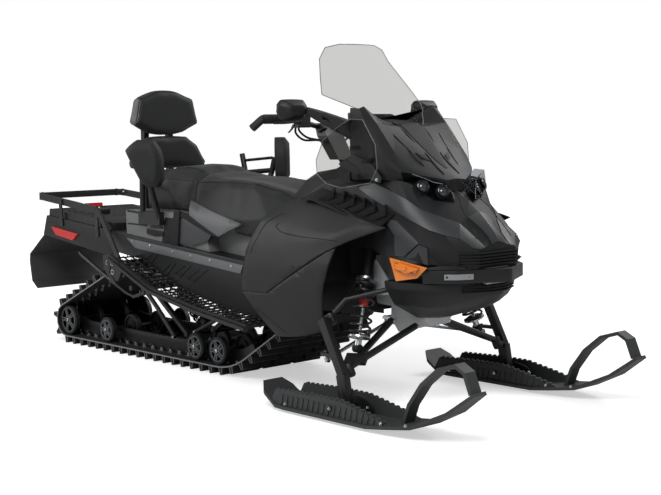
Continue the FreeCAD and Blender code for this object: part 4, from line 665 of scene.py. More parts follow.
# %% Scatter with Geometry Nodes
def scatter(name, spots, form, material, body="chassis", spin=1.0, seed=7):
    """One form on every spot of (place, direction), realised as one piece."""
    cloud = bpy.data.meshes.new(name + "_spots")
    cloud.from_pydata([tuple(Vector(place) * MM) for place, facing in spots], [], [])
    aim = cloud.attributes.new("facing", "FLOAT_VECTOR", "POINT")
    for index, (place, facing) in enumerate(spots):
        aim.data[index].vector = Vector(facing).normalized()
    carrier = bpy.data.objects.new(name + "_spots", cloud)
    bpy.context.collection.objects.link(carrier)
    tree = bpy.data.node_groups.new(name + "_scatter", "GeometryNodeTree")
    tree.interface.new_socket("Spots", in_out="INPUT", socket_type="NodeSocketGeometry")
    form_in = tree.interface.new_socket("Form", in_out="INPUT", socket_type="NodeSocketObject")
    spin_in = tree.interface.new_socket("Spin", in_out="INPUT", socket_type="NodeSocketFloat")
    seed_in = tree.interface.new_socket("Seed", in_out="INPUT", socket_type="NodeSocketInt")
    finish_in = tree.interface.new_socket("Finish", in_out="INPUT", socket_type="NodeSocketMaterial")
    tree.interface.new_socket("Pieces", in_out="OUTPUT", socket_type="NodeSocketGeometry")
    given = tree.nodes.new("NodeGroupInput").outputs
    shown = add(tree, "GeometryNodeObjectInfo", Object=given["Form"])
    facing = add(tree, "GeometryNodeInputNamedAttribute", {"data_type": "FLOAT_VECTOR"}, Name="facing")
    aligned = add(tree, "FunctionNodeAlignRotationToVector", {"axis": "Z"}, Vector=facing.outputs["Attribute"])
    chance = add(tree, "FunctionNodeRandomValue", {"data_type": "FLOAT"}, Seed=given["Seed"])
    tree.links.new(given["Spin"], chance.inputs[3])
    about = add(tree, "FunctionNodeAxisAngleToRotation", Axis=(0, 0, 1), Angle=chance.outputs[1])
    turned = add(tree, "FunctionNodeRotateRotation", {"rotation_space": "LOCAL"},
                 Rotation=aligned.outputs["Rotation"], Rotate_By=about.outputs["Rotation"])
    placed = add(tree, "GeometryNodeInstanceOnPoints", Points=given["Spots"], Instance=shown.outputs["Geometry"],
                 Rotation=turned.outputs["Rotation"])
    real = add(tree, "GeometryNodeRealizeInstances", Geometry=placed.outputs["Instances"])
    painted = add(tree, "GeometryNodeSetMaterial", Geometry=real.outputs["Geometry"], Material=given["Finish"])
    result = tree.nodes.new("NodeGroupOutput")
    tree.links.new(painted.outputs["Geometry"], result.inputs["Pieces"])
    setting = carrier.modifiers.new("scatter", "NODES")
    setting.node_group = tree
    setting[form_in.identifier] = form
    setting[spin_in.identifier] = spin
    setting[seed_in.identifier] = seed
    setting[finish_in.identifier] = material
    graph = bpy.context.evaluated_depsgraph_get()
    mesh = bpy.data.meshes.new_from_object(carrier.evaluated_get(graph))
    bpy.data.objects.remove(carrier)
    return settle(name, mesh, material, body)


def flank_spots(y, places):
    """Spots on both flanks that face outwards, at a distance from the centre plane."""
    return [((x, y * side, z), (0, side, 0)) for side in (1, -1) for x, z in places]


loose_forms = []


def form_of(name, shape, angle=40):
    """A loose form for the scatter, taken out of the scene again at the end."""
    form = bpy.data.objects.new(name, mesh_of(shape.skin(angle), name))
    bpy.context.collection.objects.link(form)
    loose_forms.append(form)
    return form


zero, up = Vector((0, 0, 0)), Vector((0, 0, 1))
bolt_form = form_of("bolt_form", Shape().turned(zero, up, [(7, -1), (7, 1), (5.4, 1.2), (5.2, 4.6), (4.2, 5.6)], 6))
rivet_form = form_of("rivet_form", Shape().turned(zero, up, [(5, -0.6), (4.6, 1.4), (2.6, 2.6)], 8))
tooth_form = form_of("tooth_form", Shape().loft([[(-4.5, -2, -1), (4.5, -2, -1), (4.5, 2, -1), (-4.5, 2, -1)],
                                                 [(-0.8, -1.4, 7), (0.8, -1.4, 7), (0.8, 1.4, 7), (-0.8, 1.4, 7)]]))
hexagon = [(math.cos(math.radians(60 * step)), math.sin(math.radians(60 * step))) for step in range(6)]
comb_form = form_of("comb_form", Shape().loft(
    [[(x * reach, y * reach, z) for x, y in hexagon] for reach, z in ((23, 0), (22, 2.2), (18, 2.2), (17, 0))],
    caps=False))
print("scatter ready")

# %% [markdown]
# Each running board is an open grating: a ladder of thin bars with holes between them, so
# that snow falls through. The bars carry small upright teeth for grip, and a stout rail
# closes the outer edge. The solid CAD board is swapped for this lattice.

# %% Running boards
board_line = [Vector((-592, 492)), Vector((-271, 368)), Vector((60, 312)), Vector((400, 270))]
board_in, board_out = 266, 430


def board_at(along):
    """The place on the board at a distance along its line."""
    for start, end in zip(board_line, board_line[1:]):
        length = (end - start).length
        if along <= length:
            break
        along -= length
    along = min(along, length)
    return start + (end - start).normalized() * along


board_length = sum((end - start).length for start, end in zip(board_line, board_line[1:]))
lattice = Shape()
teeth = []
cell = 36
for number in range(int(board_length / cell) + 1):
    spot = board_at(number * cell)
    bar = [(spot.x - 6, board_in, spot.y), (spot.x + 6, board_in, spot.y),
           (spot.x + 6, board_out, spot.y), (spot.x - 6, board_out, spot.y)]
    lattice.pad(bar, (0, 0, -6))
    for y in range(286, 430, 24):
        teeth += [((spot.x, y * side, spot.y - 0.5), (0, 0, 1)) for side in (1, -1)]
stations = [board_at(board_length * step / 24) for step in range(25)]
for y1, y2, rise, drop in ((265.5, 276, 0, 6), (308, 315, 0, 6), (348, 355, 0, 6), (388, 395, 0, 6),
                           (416, 430, 14, 14), (436, 441, 2, 12)):
    lattice.strip(stations, y1, y2, rise, drop)
for number in range(12):
    spot = board_at(board_length * (number + 0.5) / 12)
    lattice.pad([(spot.x - 5, 428, spot.y), (spot.x + 5, 428, spot.y),
                 (spot.x + 5, 438, spot.y - 2), (spot.x - 5, 438, spot.y - 2)], (0, 0, -7))
bracket = [(-645, 500), (-592, 512), (-520, 480), (-490, 440), (-520, 395), (-570, 385), (-640, 440)]
lattice.plate(bracket, 417, 16.8)
boards = lattice.both().piece("running_board_lattice", coated_steel, soften=0.0)
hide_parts("running_boards")
lobe = Shape()
outline = [(-599, 498), (-545, 482), (-522, 450), (-453, 430), (-380, 404), (-320, 389), (-306, 352), (-391, 326),
           (-459, 340), (-545, 371), (-612, 430)]
lobe.frame(outline, Vector((-440, 405)), 0.86, 431, 6)
lobe.both().piece("board_bracket_rim", coated_steel, angle=40)
scatter("board_teeth", teeth, tooth_form, coated_steel, spin=3.1, seed=3)
eyelet_profile = ((12, -1), (12, 1.6), (9.1, 1.6), (9.1, -6))
eyelet_rings = [round_ring(up * z, Vector((1, 0, 0)), Vector((0, 1, 0)), radius, 16) for radius, z in eyelet_profile]
eyelet_form = form_of("eyelet_form", Shape().loft(eyelet_rings, caps=False))
scatter("bracket_eyelets", flank_spots(434.4, ((-605, 470), (-565, 470), (-565, 430))), eyelet_form, bolt_steel)
print("boards:", len(teeth), "teeth")

# %% [markdown]
# The skis are moulded plastic: ribs stand on the outside of their walls, a steel saddle and
# its bolts sit in the middle, and the loop at the tip is bolted on. Each ski gets its own
# parts, because each turns with its spindle.

# %% Ski trim
wall_crest = [(700, 84), (900, 92), (1060, 92), (1200, 66), (1320, 40)]


def wall_top(x):
    """Height of a ski's side wall at a place along it."""
    for (x1, z1), (x2, z2) in zip(wall_crest, wall_crest[1:]):
        if x <= x2:
            return z1 + (z2 - z1) * (x - x1) / (x2 - x1)
    return wall_crest[-1][1]


for side, body in ((1, "ski_assembly_left"), (-1, "ski_assembly_right")):
    ribs = Shape()
    for face in (1, -1):
        y = side * 450 + face * 74.5
        for index in range(19):
            x = 722 + index * 29
            high = min(wall_top(x) - 14, 66)
            ribs.pad([(x, y, 27), (x + 12, y, 27), (x + 22, y, high), (x + 10, y, high)], (0, face * 4, 0))
    ribs.piece("ski_ribs_" + body, ski_black, body, angle=40)
    saddle = Shape()
    for face in (1, -1):
        y = side * 450 + face * 45
        saddle.loft([[(x, y, z), (x, y + face * 4, z), (x, y + face * 4, low), (x, y, low)]
                     for x, z, low in ((915, 52, 40), (955, 74, 40), (1010, 84, 40), (1065, 74, 40), (1105, 52, 40))])
    saddle.piece("ski_saddle_" + body, coated_steel, body, soften=0.8)
    crest = Shape()
    for face in (1, -1):
        y = side * 450 + face * 66
        for index in range(22):
            x = 708 + index * 27
            crest.pad([(x, y, wall_top(x) - 6), (x + 6, y, wall_top(x + 6) + 5), (x + 15, y, wall_top(x + 15) + 5),
                       (x + 21, y, wall_top(x + 21) - 6)], (0, face * 9, 0))
    crest.piece("ski_crest_" + body, ski_black, body, angle=40)
    spots = []
    for face in (1, -1):
        spots += [((1010, side * 450 + face * 84, 55), (0, face, 0))]
        spots += [((x, side * 450 + face * 80, z), (0, face, 0)) for x, z in ((760, 34), (1270, 40), (1390, 52))]
    spots += [((x, side * 450, z), (0.3, 0, 1)) for x, z in ((900, 60), (1120, 60))]
    scatter("ski_bolts_" + body, spots, bolt_form, bolt_steel, body, seed=11)
print("skis trimmed")

# %% [markdown]
# The front shocks are coil-overs. A coil is one rod wound on a slanted line, closed up at
# both ends, with a silver collar above and below and a red bump stop on the shaft.

# %% Front shocks and dampers
def coil(shape, foot, head, radius, wire, rounds, sides=7):
    """A spring wound between two points."""
    foot, head = Vector(foot), Vector(head)
    axis = (head - foot).normalized()
    across = axis.orthogonal().normalized()
    third = axis.cross(across)
    path = []
    steps = int(rounds * 16)
    for step in range(steps + 1):
        share = step / steps
        lift = share + 0.035 * math.sin(2 * math.pi * share) * -1
        turn = 2 * math.pi * rounds * share
        path.append(foot.lerp(head, lift) + (across * math.cos(turn) + third * math.sin(turn)) * radius)
    shape.tube(path, wire, sides)


shock_top, shock_foot = Vector((902, 214, 590)), Vector((950, 334, 240))
shock_axis = (shock_foot - shock_top).normalized()
springs, collars, bumps, bodies, shafts = Shape(), Shape(), Shape(), Shape(), Shape()
coil(springs, shock_top + shock_axis * 118, shock_top + shock_axis * 326, 38, 4.8, 7)
bodies.turned(shock_top, shock_axis, [(15, -14), (19, -10), (19, 100), (16, 104), (16, 214), (13, 218)], 20)
collars.turned(shock_top, shock_axis, [(20, 100), (38, 103), (40, 112), (34, 116), (20, 118)], 24)
collars.turned(shock_top, shock_axis, [(14, 318), (26, 320), (42, 328), (43, 334), (20, 338)], 24)
bumps.turned(shock_top, shock_axis,
             [(14, 184), (18.4, 186), (19, 198), (16.5, 202), (19, 206), (18, 216), (14, 218)], 18)
shafts.turned(shock_top, shock_axis, [(6.5, 214), (6.5, 336), (13, 340), (13, 366)], 14)
bodies.loft([[(886, y, 574), (910, y, 574), (910, y, 596), (886, y, 596)] for y in (72, 226)])
for centre in (shock_top, shock_foot):
    bodies.turned(centre - Vector((16, 0, 0)), (1, 0, 0), [(12, 0), (16, 2), (16, 30), (12, 32)], 18)
coils_front = springs.both().piece("front_shock_springs", spring_black)
collars.both().piece("front_shock_collars", bolt_steel)
bumps.both().piece("front_shock_bumps", red_rubber)
bodies.both().piece("front_shock_bodies", dull_black)
shafts.both().piece("front_shock_shafts", bolt_steel)
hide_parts("front_shocks")
rear_springs, rear_rings = Shape(), Shape()
for top, foot in (((-650, 0, 305), (-440, 0, 153)), ((20, 40, 307), (-150, 40, 194))):
    top, foot = Vector(top), Vector(foot)
    direction = (foot - top).normalized()
    length = (foot - top).length
    coil(rear_springs, top + direction * 40, top + direction * (length - 40), 37, 5.5, 5.5)
    for reach in (34, length - 40):
        rear_rings.turned(top, direction, [(28, reach), (43, reach + 1), (43, reach + 7), (28, reach + 8)], 22)
rear_springs.piece("rear_springs", spring_black)
rear_rings.piece("rear_spring_collars", bolt_steel)
print("springs wound")

# %% Suspension arms inside the track
arms = Shape()
arms.tube([(-655, 200, 316), (-560, 200, 242), (-423, 200, 119)], 11, 10)
arms.tube([(-255, 200, 161), (-94, 200, 234)], 10, 10)
arms.tube([(-1147, 256, 473), (-1120, 262, 462), (-830, 262, 345), (-806, 256, 335)], 9, 10)
arms.both().piece("suspension_arms", coated_steel)
pins = []
for x, z, y in ((-655, 316, 212), (-423, 119, 212), (-255, 161, 211), (-94, 234, 211)):
    pins += flank_spots(y, ((x, z),))
scatter("suspension_pins", pins, bolt_form, bolt_steel)
print("arms placed")

# %% [markdown]
# The box under the seat carries the small hardware of the machine's flank: two flush
# latches, a black strut, a paler triangular panel and the black edge of the wedge that
# runs forward beneath the rider.

# %% Flank of the seat box
fittings, pale_fittings, black_fittings = Shape(), Shape(), Shape()
pale_fittings.plate(((-269, 670), (-237, 676), (-37, 610), (-61, 586), (-187, 554), (-291, 565)), 252, 11)
black_fittings.plate(((-304, 707), (-259, 708), (-280, 552), (-335, 554)), 262, 8)
black_fittings.plate(((-381, 675), (-305, 674), (-345, 553), (-413, 559)), 262, 3)
black_fittings.plate(((-270, 707), (-183, 687), (13, 608), (-39, 610), (-240, 676)), 255, 10)
black_fittings.plate(((-506, 676), (-387, 666), (-390, 640), (-470, 640), (-517, 648)), 262, 8)
black_fittings.plate(((-526, 618), (-391, 610), (-395, 590), (-460, 586), (-528, 596)), 262, 7)
fittings.plate(((-496, 634), (-402, 634), (-404, 622), (-498, 622)), 262, 6)
black_fittings.strip(((-690, 700), (-624, 697), (-530, 684), (-400, 680)), 262, 266, 0, 8)
black_fittings.strip(((-690, 640), (-530, 636)), 262, 266, 0, 6)
pale_fittings.both().piece("seat_box_grey_panel", grey_fin, soften=1.5)
black_fittings.both().piece("seat_box_fittings", dull_black, soften=1.2)
fittings.both().piece("seat_box_latch_bars", coated_steel, soften=0.8)
repaint(bpy.data.objects["tunnel_rounded"], brushed_strip,
        lambda spot, normal: abs(spot.y) > 266 and 450 < spot.z < 575 and -705 < spot.x < 195)
strip_bolts = flank_spots(270.4, ((-640, 558), (-500, 541), (-320, 526), (-179, 515), (-40, 503), (110, 487)))
scatter("strip_bolts", strip_bolts, bolt_form, bolt_steel, seed=5)
recesses = Shape()
for outline in (((-412, 426), (-342, 472), (-309, 469), (-370, 419)),
                ((-325, 422), (-220, 475), (-188, 469), (-277, 409)),
                ((-232, 403), (-118, 463), (-64, 459), (-176, 395)),
                ((-560, 470), (-480, 512), (-440, 508), (-510, 452))):
    middle = Vector((sum(x for x, z in outline) / 4, sum(z for x, z in outline) / 4))
    recesses.frame(outline, middle, 0.82, 264.8, 3.4)
recesses.both().piece("tunnel_rib_frames", coated_steel, soften=0.0)
print("flank fitted")

# %% Deck, flap and rack
deck = Shape()


def deck_top(x):
    """Height of the deck at a place along it."""
    return 528 - 0.0834 * x + 34


cells = []
row_step = 44
for row in range(10):
    for column in range(9):
        x = -1420 + row * row_step * 0.87 + 20
        y = -200 + column * 46 + (23 if row % 2 else 0)
        in_latch = -1210 < x < -1130 and -165 < y < -55
        if abs(y) < 205 and x < -1040 and not in_latch:
            cells.append(((x, y, deck_top(x) - 0.6), (0.0834, 0, 1)))
scatter("deck_honeycomb", cells, comb_form, moulded_black, spin=0.0)
for x1, z1, x2, z2 in ((-1372, 614, -1145, 594), (-1360, 604, -1132, 584)):
    deck.strip(((x1, z1), (x2, z2)), 250, 252.6, 0, 4)
deck.both()
deck.turned((-1175, -110, deck_top(-1175) + 8), (0.0834, 0, 1), [(20, 0), (24, 3), (22, 9), (12, 10), (10, 6)], 24)
deck.pad([(-1188, -85, deck_top(-1188) + 8), (-1150, -85, deck_top(-1150) + 8), (-1150, -76, deck_top(-1150) + 8),
          (-1188, -76, deck_top(-1188) + 8)], (0, 0, 7))
deck.piece("deck_latch", dull_black, soften=0.8)
flap = Shape()


def flap_rear(z):
    """The rear face of the flap at a height."""
    return -1637 - (z - 296) * 18 / 104 if z > 296 else -1637 + (296 - z) * 55 / 37


for z in (318, 332, 346, 360, 374, 388):
    behind = flap_rear(z)
    flap.loft([[(behind + 2, y, z - 3), (behind - 4, y, z), (behind + 2, y, z + 3)] for y in (-236, 236)])
for y in (-250, 250):
    flap.loft([[(flap_rear(z) + 2, y - 5, z), (flap_rear(z) - 5, y, z), (flap_rear(z) + 2, y + 5, z)]
               for z in (268, 296, 350, 400)])
flap.piece("flap_grooves", flap_rubber, angle=50)
rack_bolts = [((x, 236 * side, z), (0, 0, 1))
              for side in (1, -1) for x, z in ((-1500, 746), (-1250, 722), (-985, 698))]
rack_bolts += flank_spots(242, ((-700, 480), (-745, 520)))
scatter("rack_bolts", rack_bolts, bolt_form, bolt_steel, seed=9)
print("rear dressed:", len(cells), "cells")

# %% [markdown]
# The bar has ribbed grips with collars, a control pod and a lever each side, and the cables
# that run down to the column. All of it turns with the bar.

# %% Handlebar controls
inner, outer = Vector((452, 205, 1098)), Vector((452, 358, 1097))
grip_rings, pod, levers = Shape(), Shape(), Shape()
grip_axis = (outer - inner).normalized()
for number in range(15):
    grip_rings.turned(inner + grip_axis * (38 + number * 7.4), grip_axis,
                      [(17, 0), (19.2, 1), (19.2, 3.6), (17, 4.6)], 16)
grip_rings.both().piece("grip_ribs", soft_rubber, "steering")
pod.turned((452, 176, 1098), (0, 1, 0), [(16, 0), (21, 2), (21, 16), (16, 18)], 18)
brake_lever = ((468, 476, 180, 1096, 1084), (486, 493, 220, 1092, 1080), (500, 506, 290, 1086, 1076),
               (496, 502, 340, 1084, 1076))
levers.loft([[(x1, y, z1), (x2, y, z1), (x2, y, z2), (x1, y, z2)] for x1, x2, y, z1, z2 in brake_lever])
thumb_lever = ((440, 452, 188, 196, 1076), (434, 444, 196, 202, 1056), (426, 434, 206, 212, 1042))
levers.loft([[(x1, y1, z), (x2, y1, z), (x2, y2, z), (x1, y2, z)] for x1, x2, y1, y2, z in thumb_lever])
pod.both().piece("control_collars", dull_black, "steering", soften=0.8)
levers.both().piece("control_levers", coated_steel, "steering", soften=1.2)
switches = Shape()
for z, y in ((1112, 140), (1098, 152), (1084, 140)):
    key_face = [(423.5, y - 7, z - 4), (423.5, y + 7, z - 4), (423.5, y + 7, z + 4), (423.5, y - 7, z + 4)]
    switches.pad(key_face, (-3.5, 0, 0))
switches.both().piece("control_switches", grey_fin, "steering", soften=0.8)
cables = Shape()
for y, sag, end in ((150, 0, 42), (168, 10, 58)):
    path = [Vector((430, y, 1072)), Vector((410, y - 16, 1050 - sag)), Vector((420, y - 50, 1022 - sag)),
            Vector((450, end + 14, 1010)), Vector((486, end - 8, 1000))]
    smooth = []
    for index in range(len(path) - 1):
        before, start = path[max(index - 1, 0)], path[index]
        end_point, after = path[index + 1], path[min(index + 2, len(path) - 1)]
        for step in range(6):
            t = step / 6
            bend = 2 * before - 5 * start + 4 * end_point - after
            twist = 3 * start - before - 3 * end_point + after
            smooth.append(0.5 * ((2 * start) + (end_point - before) * t + bend * t * t + twist * t ** 3))
    smooth.append(path[-1])
    cables.tube(smooth, 4.5, 7)
cables.both().piece("bar_cables", dull_black, "steering")
riser = Shape()
riser.loft([[(452, 26, 1084), (420, 26, 1066), (432, 26, 1040), (466, 26, 1058)],
            [(452, 52, 1084), (420, 52, 1066), (432, 52, 1040), (466, 52, 1058)]])
riser.both().piece("bar_clamps", coated_steel, "steering", soften=2.0)
clamp_bolts = [((425 + dx, y * side, 1074 + dz), (-0.58, 0, 0.81))
               for side in (1, -1) for y in (33, 45) for dx, dz in ((3, 3), (19, 13))]
scatter("clamp_bolts", clamp_bolts, rivet_form, bolt_steel, "steering")
print("controls placed")

# %% Mirror glass
glass = Shape()
outline = ((306, 1098), (300, 1126), (312, 1154), (346, 1163), (398, 1158), (424, 1136), (424, 1110), (404, 1096))
for side in (1, -1):
    glass.pad([(621.4, side * y, z) for y, z in outline], (-1.4, 0, 0))
glass.piece("mirror_glass", mirror_glass, soften=0.0)
print("mirrors glazed")

# %% [markdown]
# The nose is where the eye goes first. The lamps are smoked, with a painted highlight along the
# upper rim and a small glass dome for each projector; the cowl has a darker centre, two scoops and
# shut lines; the reflectors are amber; and a plain blank tag is bolted to the bumper on one side.

# %% Lamps
lamp_rings, lamp_domes, lamp_highlight_lines, lamp_bases = Shape(), Shape(), Shape(), Shape()
lamp_direction = Vector((0.83, 0.42, 0.36)).normalized()
for place in ((1124, 160, 832), (1160, 90, 812)):
    place = Vector(place)
    lamp_rings.turned(place, lamp_direction, [(19, 8), (19.4, 16.6), (20.6, 18), (22, 17.4), (22.4, 14)], 28)
    lamp_domes.turned(place, lamp_direction, [(18.6, 7), (18, 10), (15, 14), (9, 17), (2.5, 18.4)], 24)
    lamp_bases.turned(place, lamp_direction, [(27, 1), (29, 4), (27.5, 7)], 28)
# Painted highlights: bright lines along the upper rims of the lenses, where light catches them.
lamp_highlight_lines.tube([(1111, 197, 882), (1127, 147, 864), (1141, 117, 850), (1163, 90, 842)], 2.0, 6)
lamp_highlight_lines.tube([(1170, 84, 838), (1186, 62, 806), (1190, 58, 782)], 1.8, 6)
lamp_rings.both().piece("lamp_rings", smoked_chrome)
lamp_domes.both().piece("lamp_domes", lamp_glass)
lamp_highlight_lines.both().piece("lamp_light_guides", lamp_highlight_chrome)
lamp_bases.both().piece("lamp_bezels", dull_black)
amber = Shape()
outward = Vector((0.46, 0.88, 0.08)).normalized()
rim_edge = ((1113, 299, 549), (1135, 291, 569), (1214, 269, 547), (1160, 283, 526))
face_edge = ((1115, 299, 549), (1136, 291, 567), (1211, 269.5, 547), (1160, 283, 528))
amber.loft([[Vector(point) + outward * reach for point in outline]
            for outline, reach in ((rim_edge, -1), (face_edge, 11))])
amber.both().piece("amber_reflectors", amber_lens, soften=0.6)
# The stay's end under the reflector is amber too, and the rear of the bulkhead is drawn black.
repaint(bpy.data.objects["reflectors_rounded"], amber_lens,
        lambda spot, normal: 1105 < spot.x < 1175 and 538 < spot.z < 558 and abs(spot.y) > 270)
repaint(bpy.data.objects["bulkhead_rounded"], dull_black, lambda spot, normal: spot.x < 800)
print("lamps lit")

# %% Cowl and hood lines
cowl_centre, shut_lines, scoops = Shape(), Shape(), Shape()
cowl_top = [(875, 1074), (920, 1060), (1000, 985), (1050, 938), (1100, 898)]
cowl_centre.loft([[(x, -half, z + 0.6), (x, 0, z + 2.2), (x, half, z + 0.6), (x, half, z - 4), (x, -half, z - 4)]
                  for (x, z), half in zip(cowl_top, (62, 54, 36, 22, 8))])
cowl_centre.piece("cowl_centre_panel", dull_black, angle=40)
for line in (((940, 128, 1033), (1011, 106, 966), (1072, 93, 910)),
             ((911, 66, 1064), (955, 60, 1026), (985, 52, 996)),
             ((1137, 12, 861), (1240, 74, 757), (1330, 96, 648))):
    shut_lines.tube(line, 1.6, 6)
for outline in (((1022, 87, 958), (1040, 54, 946), (1066, 46, 923), (1047, 79, 936)),
                ((1027, 41, 958), (1057, 34, 932), (1126, 41, 876), (1092, 47, 902))):
    scoops.loft([[Vector(point) + Vector((0.69, 0, 0.7)) * reach for point in outline] for reach in (-3, 1.6)])
shut_lines.both().piece("cowl_shut_lines", dull_black, angle=60)
scoops.both().piece("cowl_scoops", dull_black, soften=0.6)
tag = Shape()
bend = [(1277, -211), (1312, -185), (1341, -128)]
push = [Vector((0.6, -0.8, 0)), Vector((0.76, -0.64, 0)), Vector((0.88, -0.47, 0))]
rows = []
for (x, y), out in zip(bend, push):
    near, far = Vector((x, y, 0)) - out * 1, Vector((x, y, 0)) + out * 3.2
    rows.append([(near.x, near.y, 507), (far.x, far.y, 507), (far.x, far.y, 527), (near.x, near.y, 527)])
tag.loft(rows).piece("blank_tag", tag_metal, soften=0.8)
tag_bolts = [((1286, -206.5, 517), (0.6, -0.8, 0)), ((1334, -143, 517), (0.88, -0.47, 0))]
scatter("tag_bolts", tag_bolts, rivet_form, dull_black)


def in_hood_painted_shade(spot, normal):
    """Painted shade: the faces that look up and outwards under the hood's edge, drawn black where the recess lies in
    shade.
    """
    tilted = abs(normal.y) > 0.3 and normal.z > 0.45
    return tilted and spot.x > 1040 and abs(spot.y) > 110 and 560 < spot.z < 740


# The shaded recess under the hood's edge is painted black as shade.
repaint(bpy.data.objects["hood_rounded"], dull_black, in_hood_painted_shade)
print("nose detailed")

# %% Side panel seams
seams = Shape()
bpy.context.view_layer.update()
panel_piece = bpy.data.objects["side_panels_moulded"]
for line in (((432, 440, 576), (440, 436, 600), (476, 434, 674), (519, 430, 741), (572, 420, 776)),
             ((568, 425, 726), (560, 425, 693), (604, 425, 671), (740, 420, 655), (916, 400, 642)),
             ((461, 425, 416), (506, 425, 424), (678, 425, 503), (870, 425, 609), (909, 425, 604)),
             ((459, 425, 359), (538, 425, 309), (621, 425, 258))):
    for side in (1, -1):
        seams.tube(on_skin(panel_piece, [(x, y * side, z) for x, y, z in line], -0.2), 1.7, 6)
seams.piece("side_panel_seams", dull_black, angle=60)
print("panels seamed")

# %% Hood flank covers and the front casting
covers, cover_lines, castings = Shape(), Shape(), Shape()
bpy.context.view_layer.update()
flank = [(744, 919), (827, 957), (933, 915), (983, 867), (973, 847), (952, 851), (766, 904)]
flank_y = 222
covers.plate(flank, flank_y, 5)
cover_lines.tube([(790, flank_y + 5.2, 936), (852, flank_y + 5.2, 905), (868, flank_y + 5.2, 884)], 1.5, 6)
covers.both().piece("hood_flank_covers", moulded_black, soften=1.5)
cover_lines.both().piece("hood_flank_lines", dull_black)
scatter("hood_flank_bolts", flank_spots(flank_y + 5, ((956, 860),)), bolt_form, bolt_steel)
castings.plate(((893, 560), (925, 556), (968, 505), (1000, 458), (984, 430), (918, 424), (900, 470)), 196, 6)
castings.both().piece("front_casting_plates", bare_aluminium, soften=2.0)
print("front covers placed")

# %% [markdown]
# The clear screen shows mostly by its edges: light is caught there, so the rim looks
# darker than the sheet. The side deflectors have the same rim and two bolts each.

# %% Edges of the clear sheets
rims_clear = Shape()
bpy.context.view_layer.update()
screen_piece = bpy.data.objects["windshield_clear"]
edge_points = []
for z, x, half, sweep in ((1066, 930, 84, 14), (1115, 872, 160, 44), (1150, 842, 212, 78), (1185, 812, 255, 122),
                          (1250, 762, 226, 112), (1328, 700, 188, 96), (1373, 664, 156, 62), (1387, 652, 96, 30)):
    edge_points.append((x - sweep, half, z))
edge = edge_points + [(x, -y, z) for x, y, z in reversed(edge_points)]
for start, end in zip(edge, edge[1:]):
    rims_clear.tube(on_skin(screen_piece, [start, end], 0.4), 1.6, 6)
deflector_edge = [(704, 1010), (664, 935), (668, 880), (715, 845), (800, 829), (950, 850), (985, 905), (978, 990),
                  (915, 1084), (851, 1088), (790, 1062)]
for side in (1, -1):
    rims_clear.tube([(x, side * (270 - 0.05 * (x - 640)), z) for x, z in deflector_edge], 1.3, 6, loop=True)
rims_clear.piece("screen_rims", screen_edge, angle=60)
pegs = [((x, side * (272.5 - 0.05 * (x - 640)), z), (0, side, 0))
        for side in (1, -1) for x, z in ((860, 980), (930, 930))]
scatter("deflector_bolts", pegs, bolt_form, dull_black)
print("sheets edged")

# %% Ball joints and arm hardware
joints, boots = Shape(), Shape()
lean = Vector((-math.sin(math.radians(28)), 0, math.cos(math.radians(28))))
for y, reach in ((410, 0), (410, 205)):
    seat_point = Vector((990, y, 165)) + lean * reach
    boots.turned(seat_point - lean * 2, lean, [(15, -14), (19, -8), (16, -3), (19, 3), (15, 9)], 16)
    joints.turned(seat_point + lean * 8, lean, [(10, 0), (10, 8), (7, 9), (6.5, 15)], 6)
boots.both().piece("ball_joint_boots", soft_rubber)
joints.both().piece("ball_joint_nuts", bolt_steel)
arm_bolts = []
for x, y, z in ((1010, 84, 302), (890, 96, 312), (1031, 225, 460), (846, 225, 460)):
    for end in (1, -1):
        arm_bolts += [((x + 14 * end, y * side, z), (end, 0, 0)) for side in (1, -1)]
scatter("arm_bolts", arm_bolts, bolt_form, bolt_steel)
print("joints booted")

# %% Put the loose forms away
for form in loose_forms:
    bpy.data.objects.remove(form)
print("forms removed:", len(loose_forms))

# %% [markdown]
# The studio: a pale floor with a soft key light from the upper front, a wide fill from the
# other side, and an even white world. The floor glows a little where the camera sees it, and
# more with distance, so that it runs into the white behind while near shadows stay. The
# camera stands where the photographer stood, which was worked out from the ski stance, the
# length and the height of the machine.

# %% Studio
def area_light(name, place, target, size, power):
    """A round soft light that faces a target."""
    lamp = bpy.data.lights.new(name, "AREA")
    lamp.shape = "DISK"
    lamp.size = size
    lamp.energy = power
    holder = bpy.data.objects.new(name, lamp)
    bpy.context.collection.objects.link(holder)
    holder.location = place
    holder.rotation_euler = (Vector(target) - Vector(place)).to_track_quat("-Z", "Y").to_euler()


def direct_view(tree):
    """One for rays from the camera and through clear plastic, else nought."""
    rays = add(tree, "ShaderNodeLightPath").outputs
    both_kinds = add(tree, "ShaderNodeMath", {"operation": "MAXIMUM"}, i0=rays["Is Camera Ray"],
                     i1=rays["Is Transmission Ray"])
    return both_kinds.outputs["Value"]


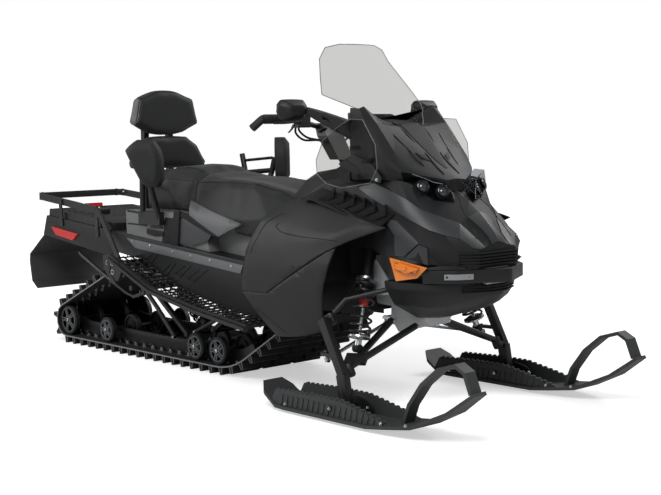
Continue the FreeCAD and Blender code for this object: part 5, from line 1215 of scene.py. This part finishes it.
floor_mesh = bpy.data.meshes.new("floor")
half_floor = 14.0
corners = [(x * half_floor, y * half_floor, 0) for x, y in ((-1, -1), (1, -1), (1, 1), (-1, 1))]
floor_mesh.from_pydata(corners, [], [(0, 1, 2, 3)])
floor = bpy.data.objects.new("floor", floor_mesh)
bpy.context.collection.objects.link(floor)
pale = surface("pale_floor", "e9e9e9", 0.9)
floor_mesh.materials.append(pale)
area_light("key_light", (3.0, -3.6, 4.6), (0, 0, 0.5), 2.4, 190)
area_light("fill_light", (-4.2, -4.2, 3.2), (0, 0, 0.4), 3.2, 120)
area_light("rim_light", (0.5, 4.6, 4.4), (0, 0, 0.6), 3.0, 120)
world = bpy.data.worlds.new("studio")
bpy.context.scene.world = world
world.use_nodes = True
world_tree = world.node_tree
strength = add(world_tree, "ShaderNodeMapRange", Value=direct_view(world_tree), i3=0.34, i4=1.0)
backdrop = world_tree.nodes["Background"]
backdrop.inputs["Color"].default_value = (1, 1, 1, 1)
world_tree.links.new(strength.outputs["Result"], backdrop.inputs["Strength"])
pale_tree = pale.node_tree
pale_place = add(pale_tree, "ShaderNodeTexCoord")
pale_reach = add(pale_tree, "ShaderNodeVectorMath", {"operation": "LENGTH"}, i0=pale_place.outputs["Object"])
fade = add(pale_tree, "ShaderNodeMapRange", {"interpolation_type": "SMOOTHSTEP"}, Value=pale_reach.outputs["Value"],
           i1=1.8, i2=6.0, i3=0.52, i4=1.0)
glow = add(pale_tree, "ShaderNodeMath", {"operation": "MULTIPLY"}, i0=direct_view(pale_tree),
           i1=fade.outputs["Result"])
pale_shader = pale_tree.nodes["Principled BSDF"]
pale_shader.inputs["Emission Color"].default_value = (1, 1, 1, 1)
pale_shader.inputs["Specular IOR Level"].default_value = 0.1
pale_tree.links.new(glow.outputs["Value"], pale_shader.inputs["Emission Strength"])
bpy.context.scene.view_settings.view_transform = "Standard"
print("studio ready")

# %% Camera at the photograph's view
camera_place = Vector((4.296454, -3.455506, 1.025221))
view_turn = math.radians(48.157)
view_pitch = math.radians(5.093)
view_roll = math.radians(-1.101)
forward = Vector((-math.sin(view_turn) * math.cos(view_pitch), math.cos(view_turn) * math.cos(view_pitch),
                  -math.sin(view_pitch)))
level_right = Vector((math.cos(view_turn), math.sin(view_turn), 0))
level_up = level_right.cross(forward)
right = level_right * math.cos(view_roll) + level_up * math.sin(view_roll)
up = level_up * math.cos(view_roll) - level_right * math.sin(view_roll)
camera_data = bpy.data.cameras.new("camera")
camera_data.lens = 67.96
camera_data.sensor_width = 36
camera = bpy.data.objects.new("camera", camera_data)
bpy.context.collection.objects.link(camera)
turn = Matrix((right, up, -forward)).transposed().to_4x4()
camera.matrix_world = Matrix.Translation(camera_place) @ turn
bpy.context.scene.camera = camera
print("camera", [round(value, 3) for value in camera_place])
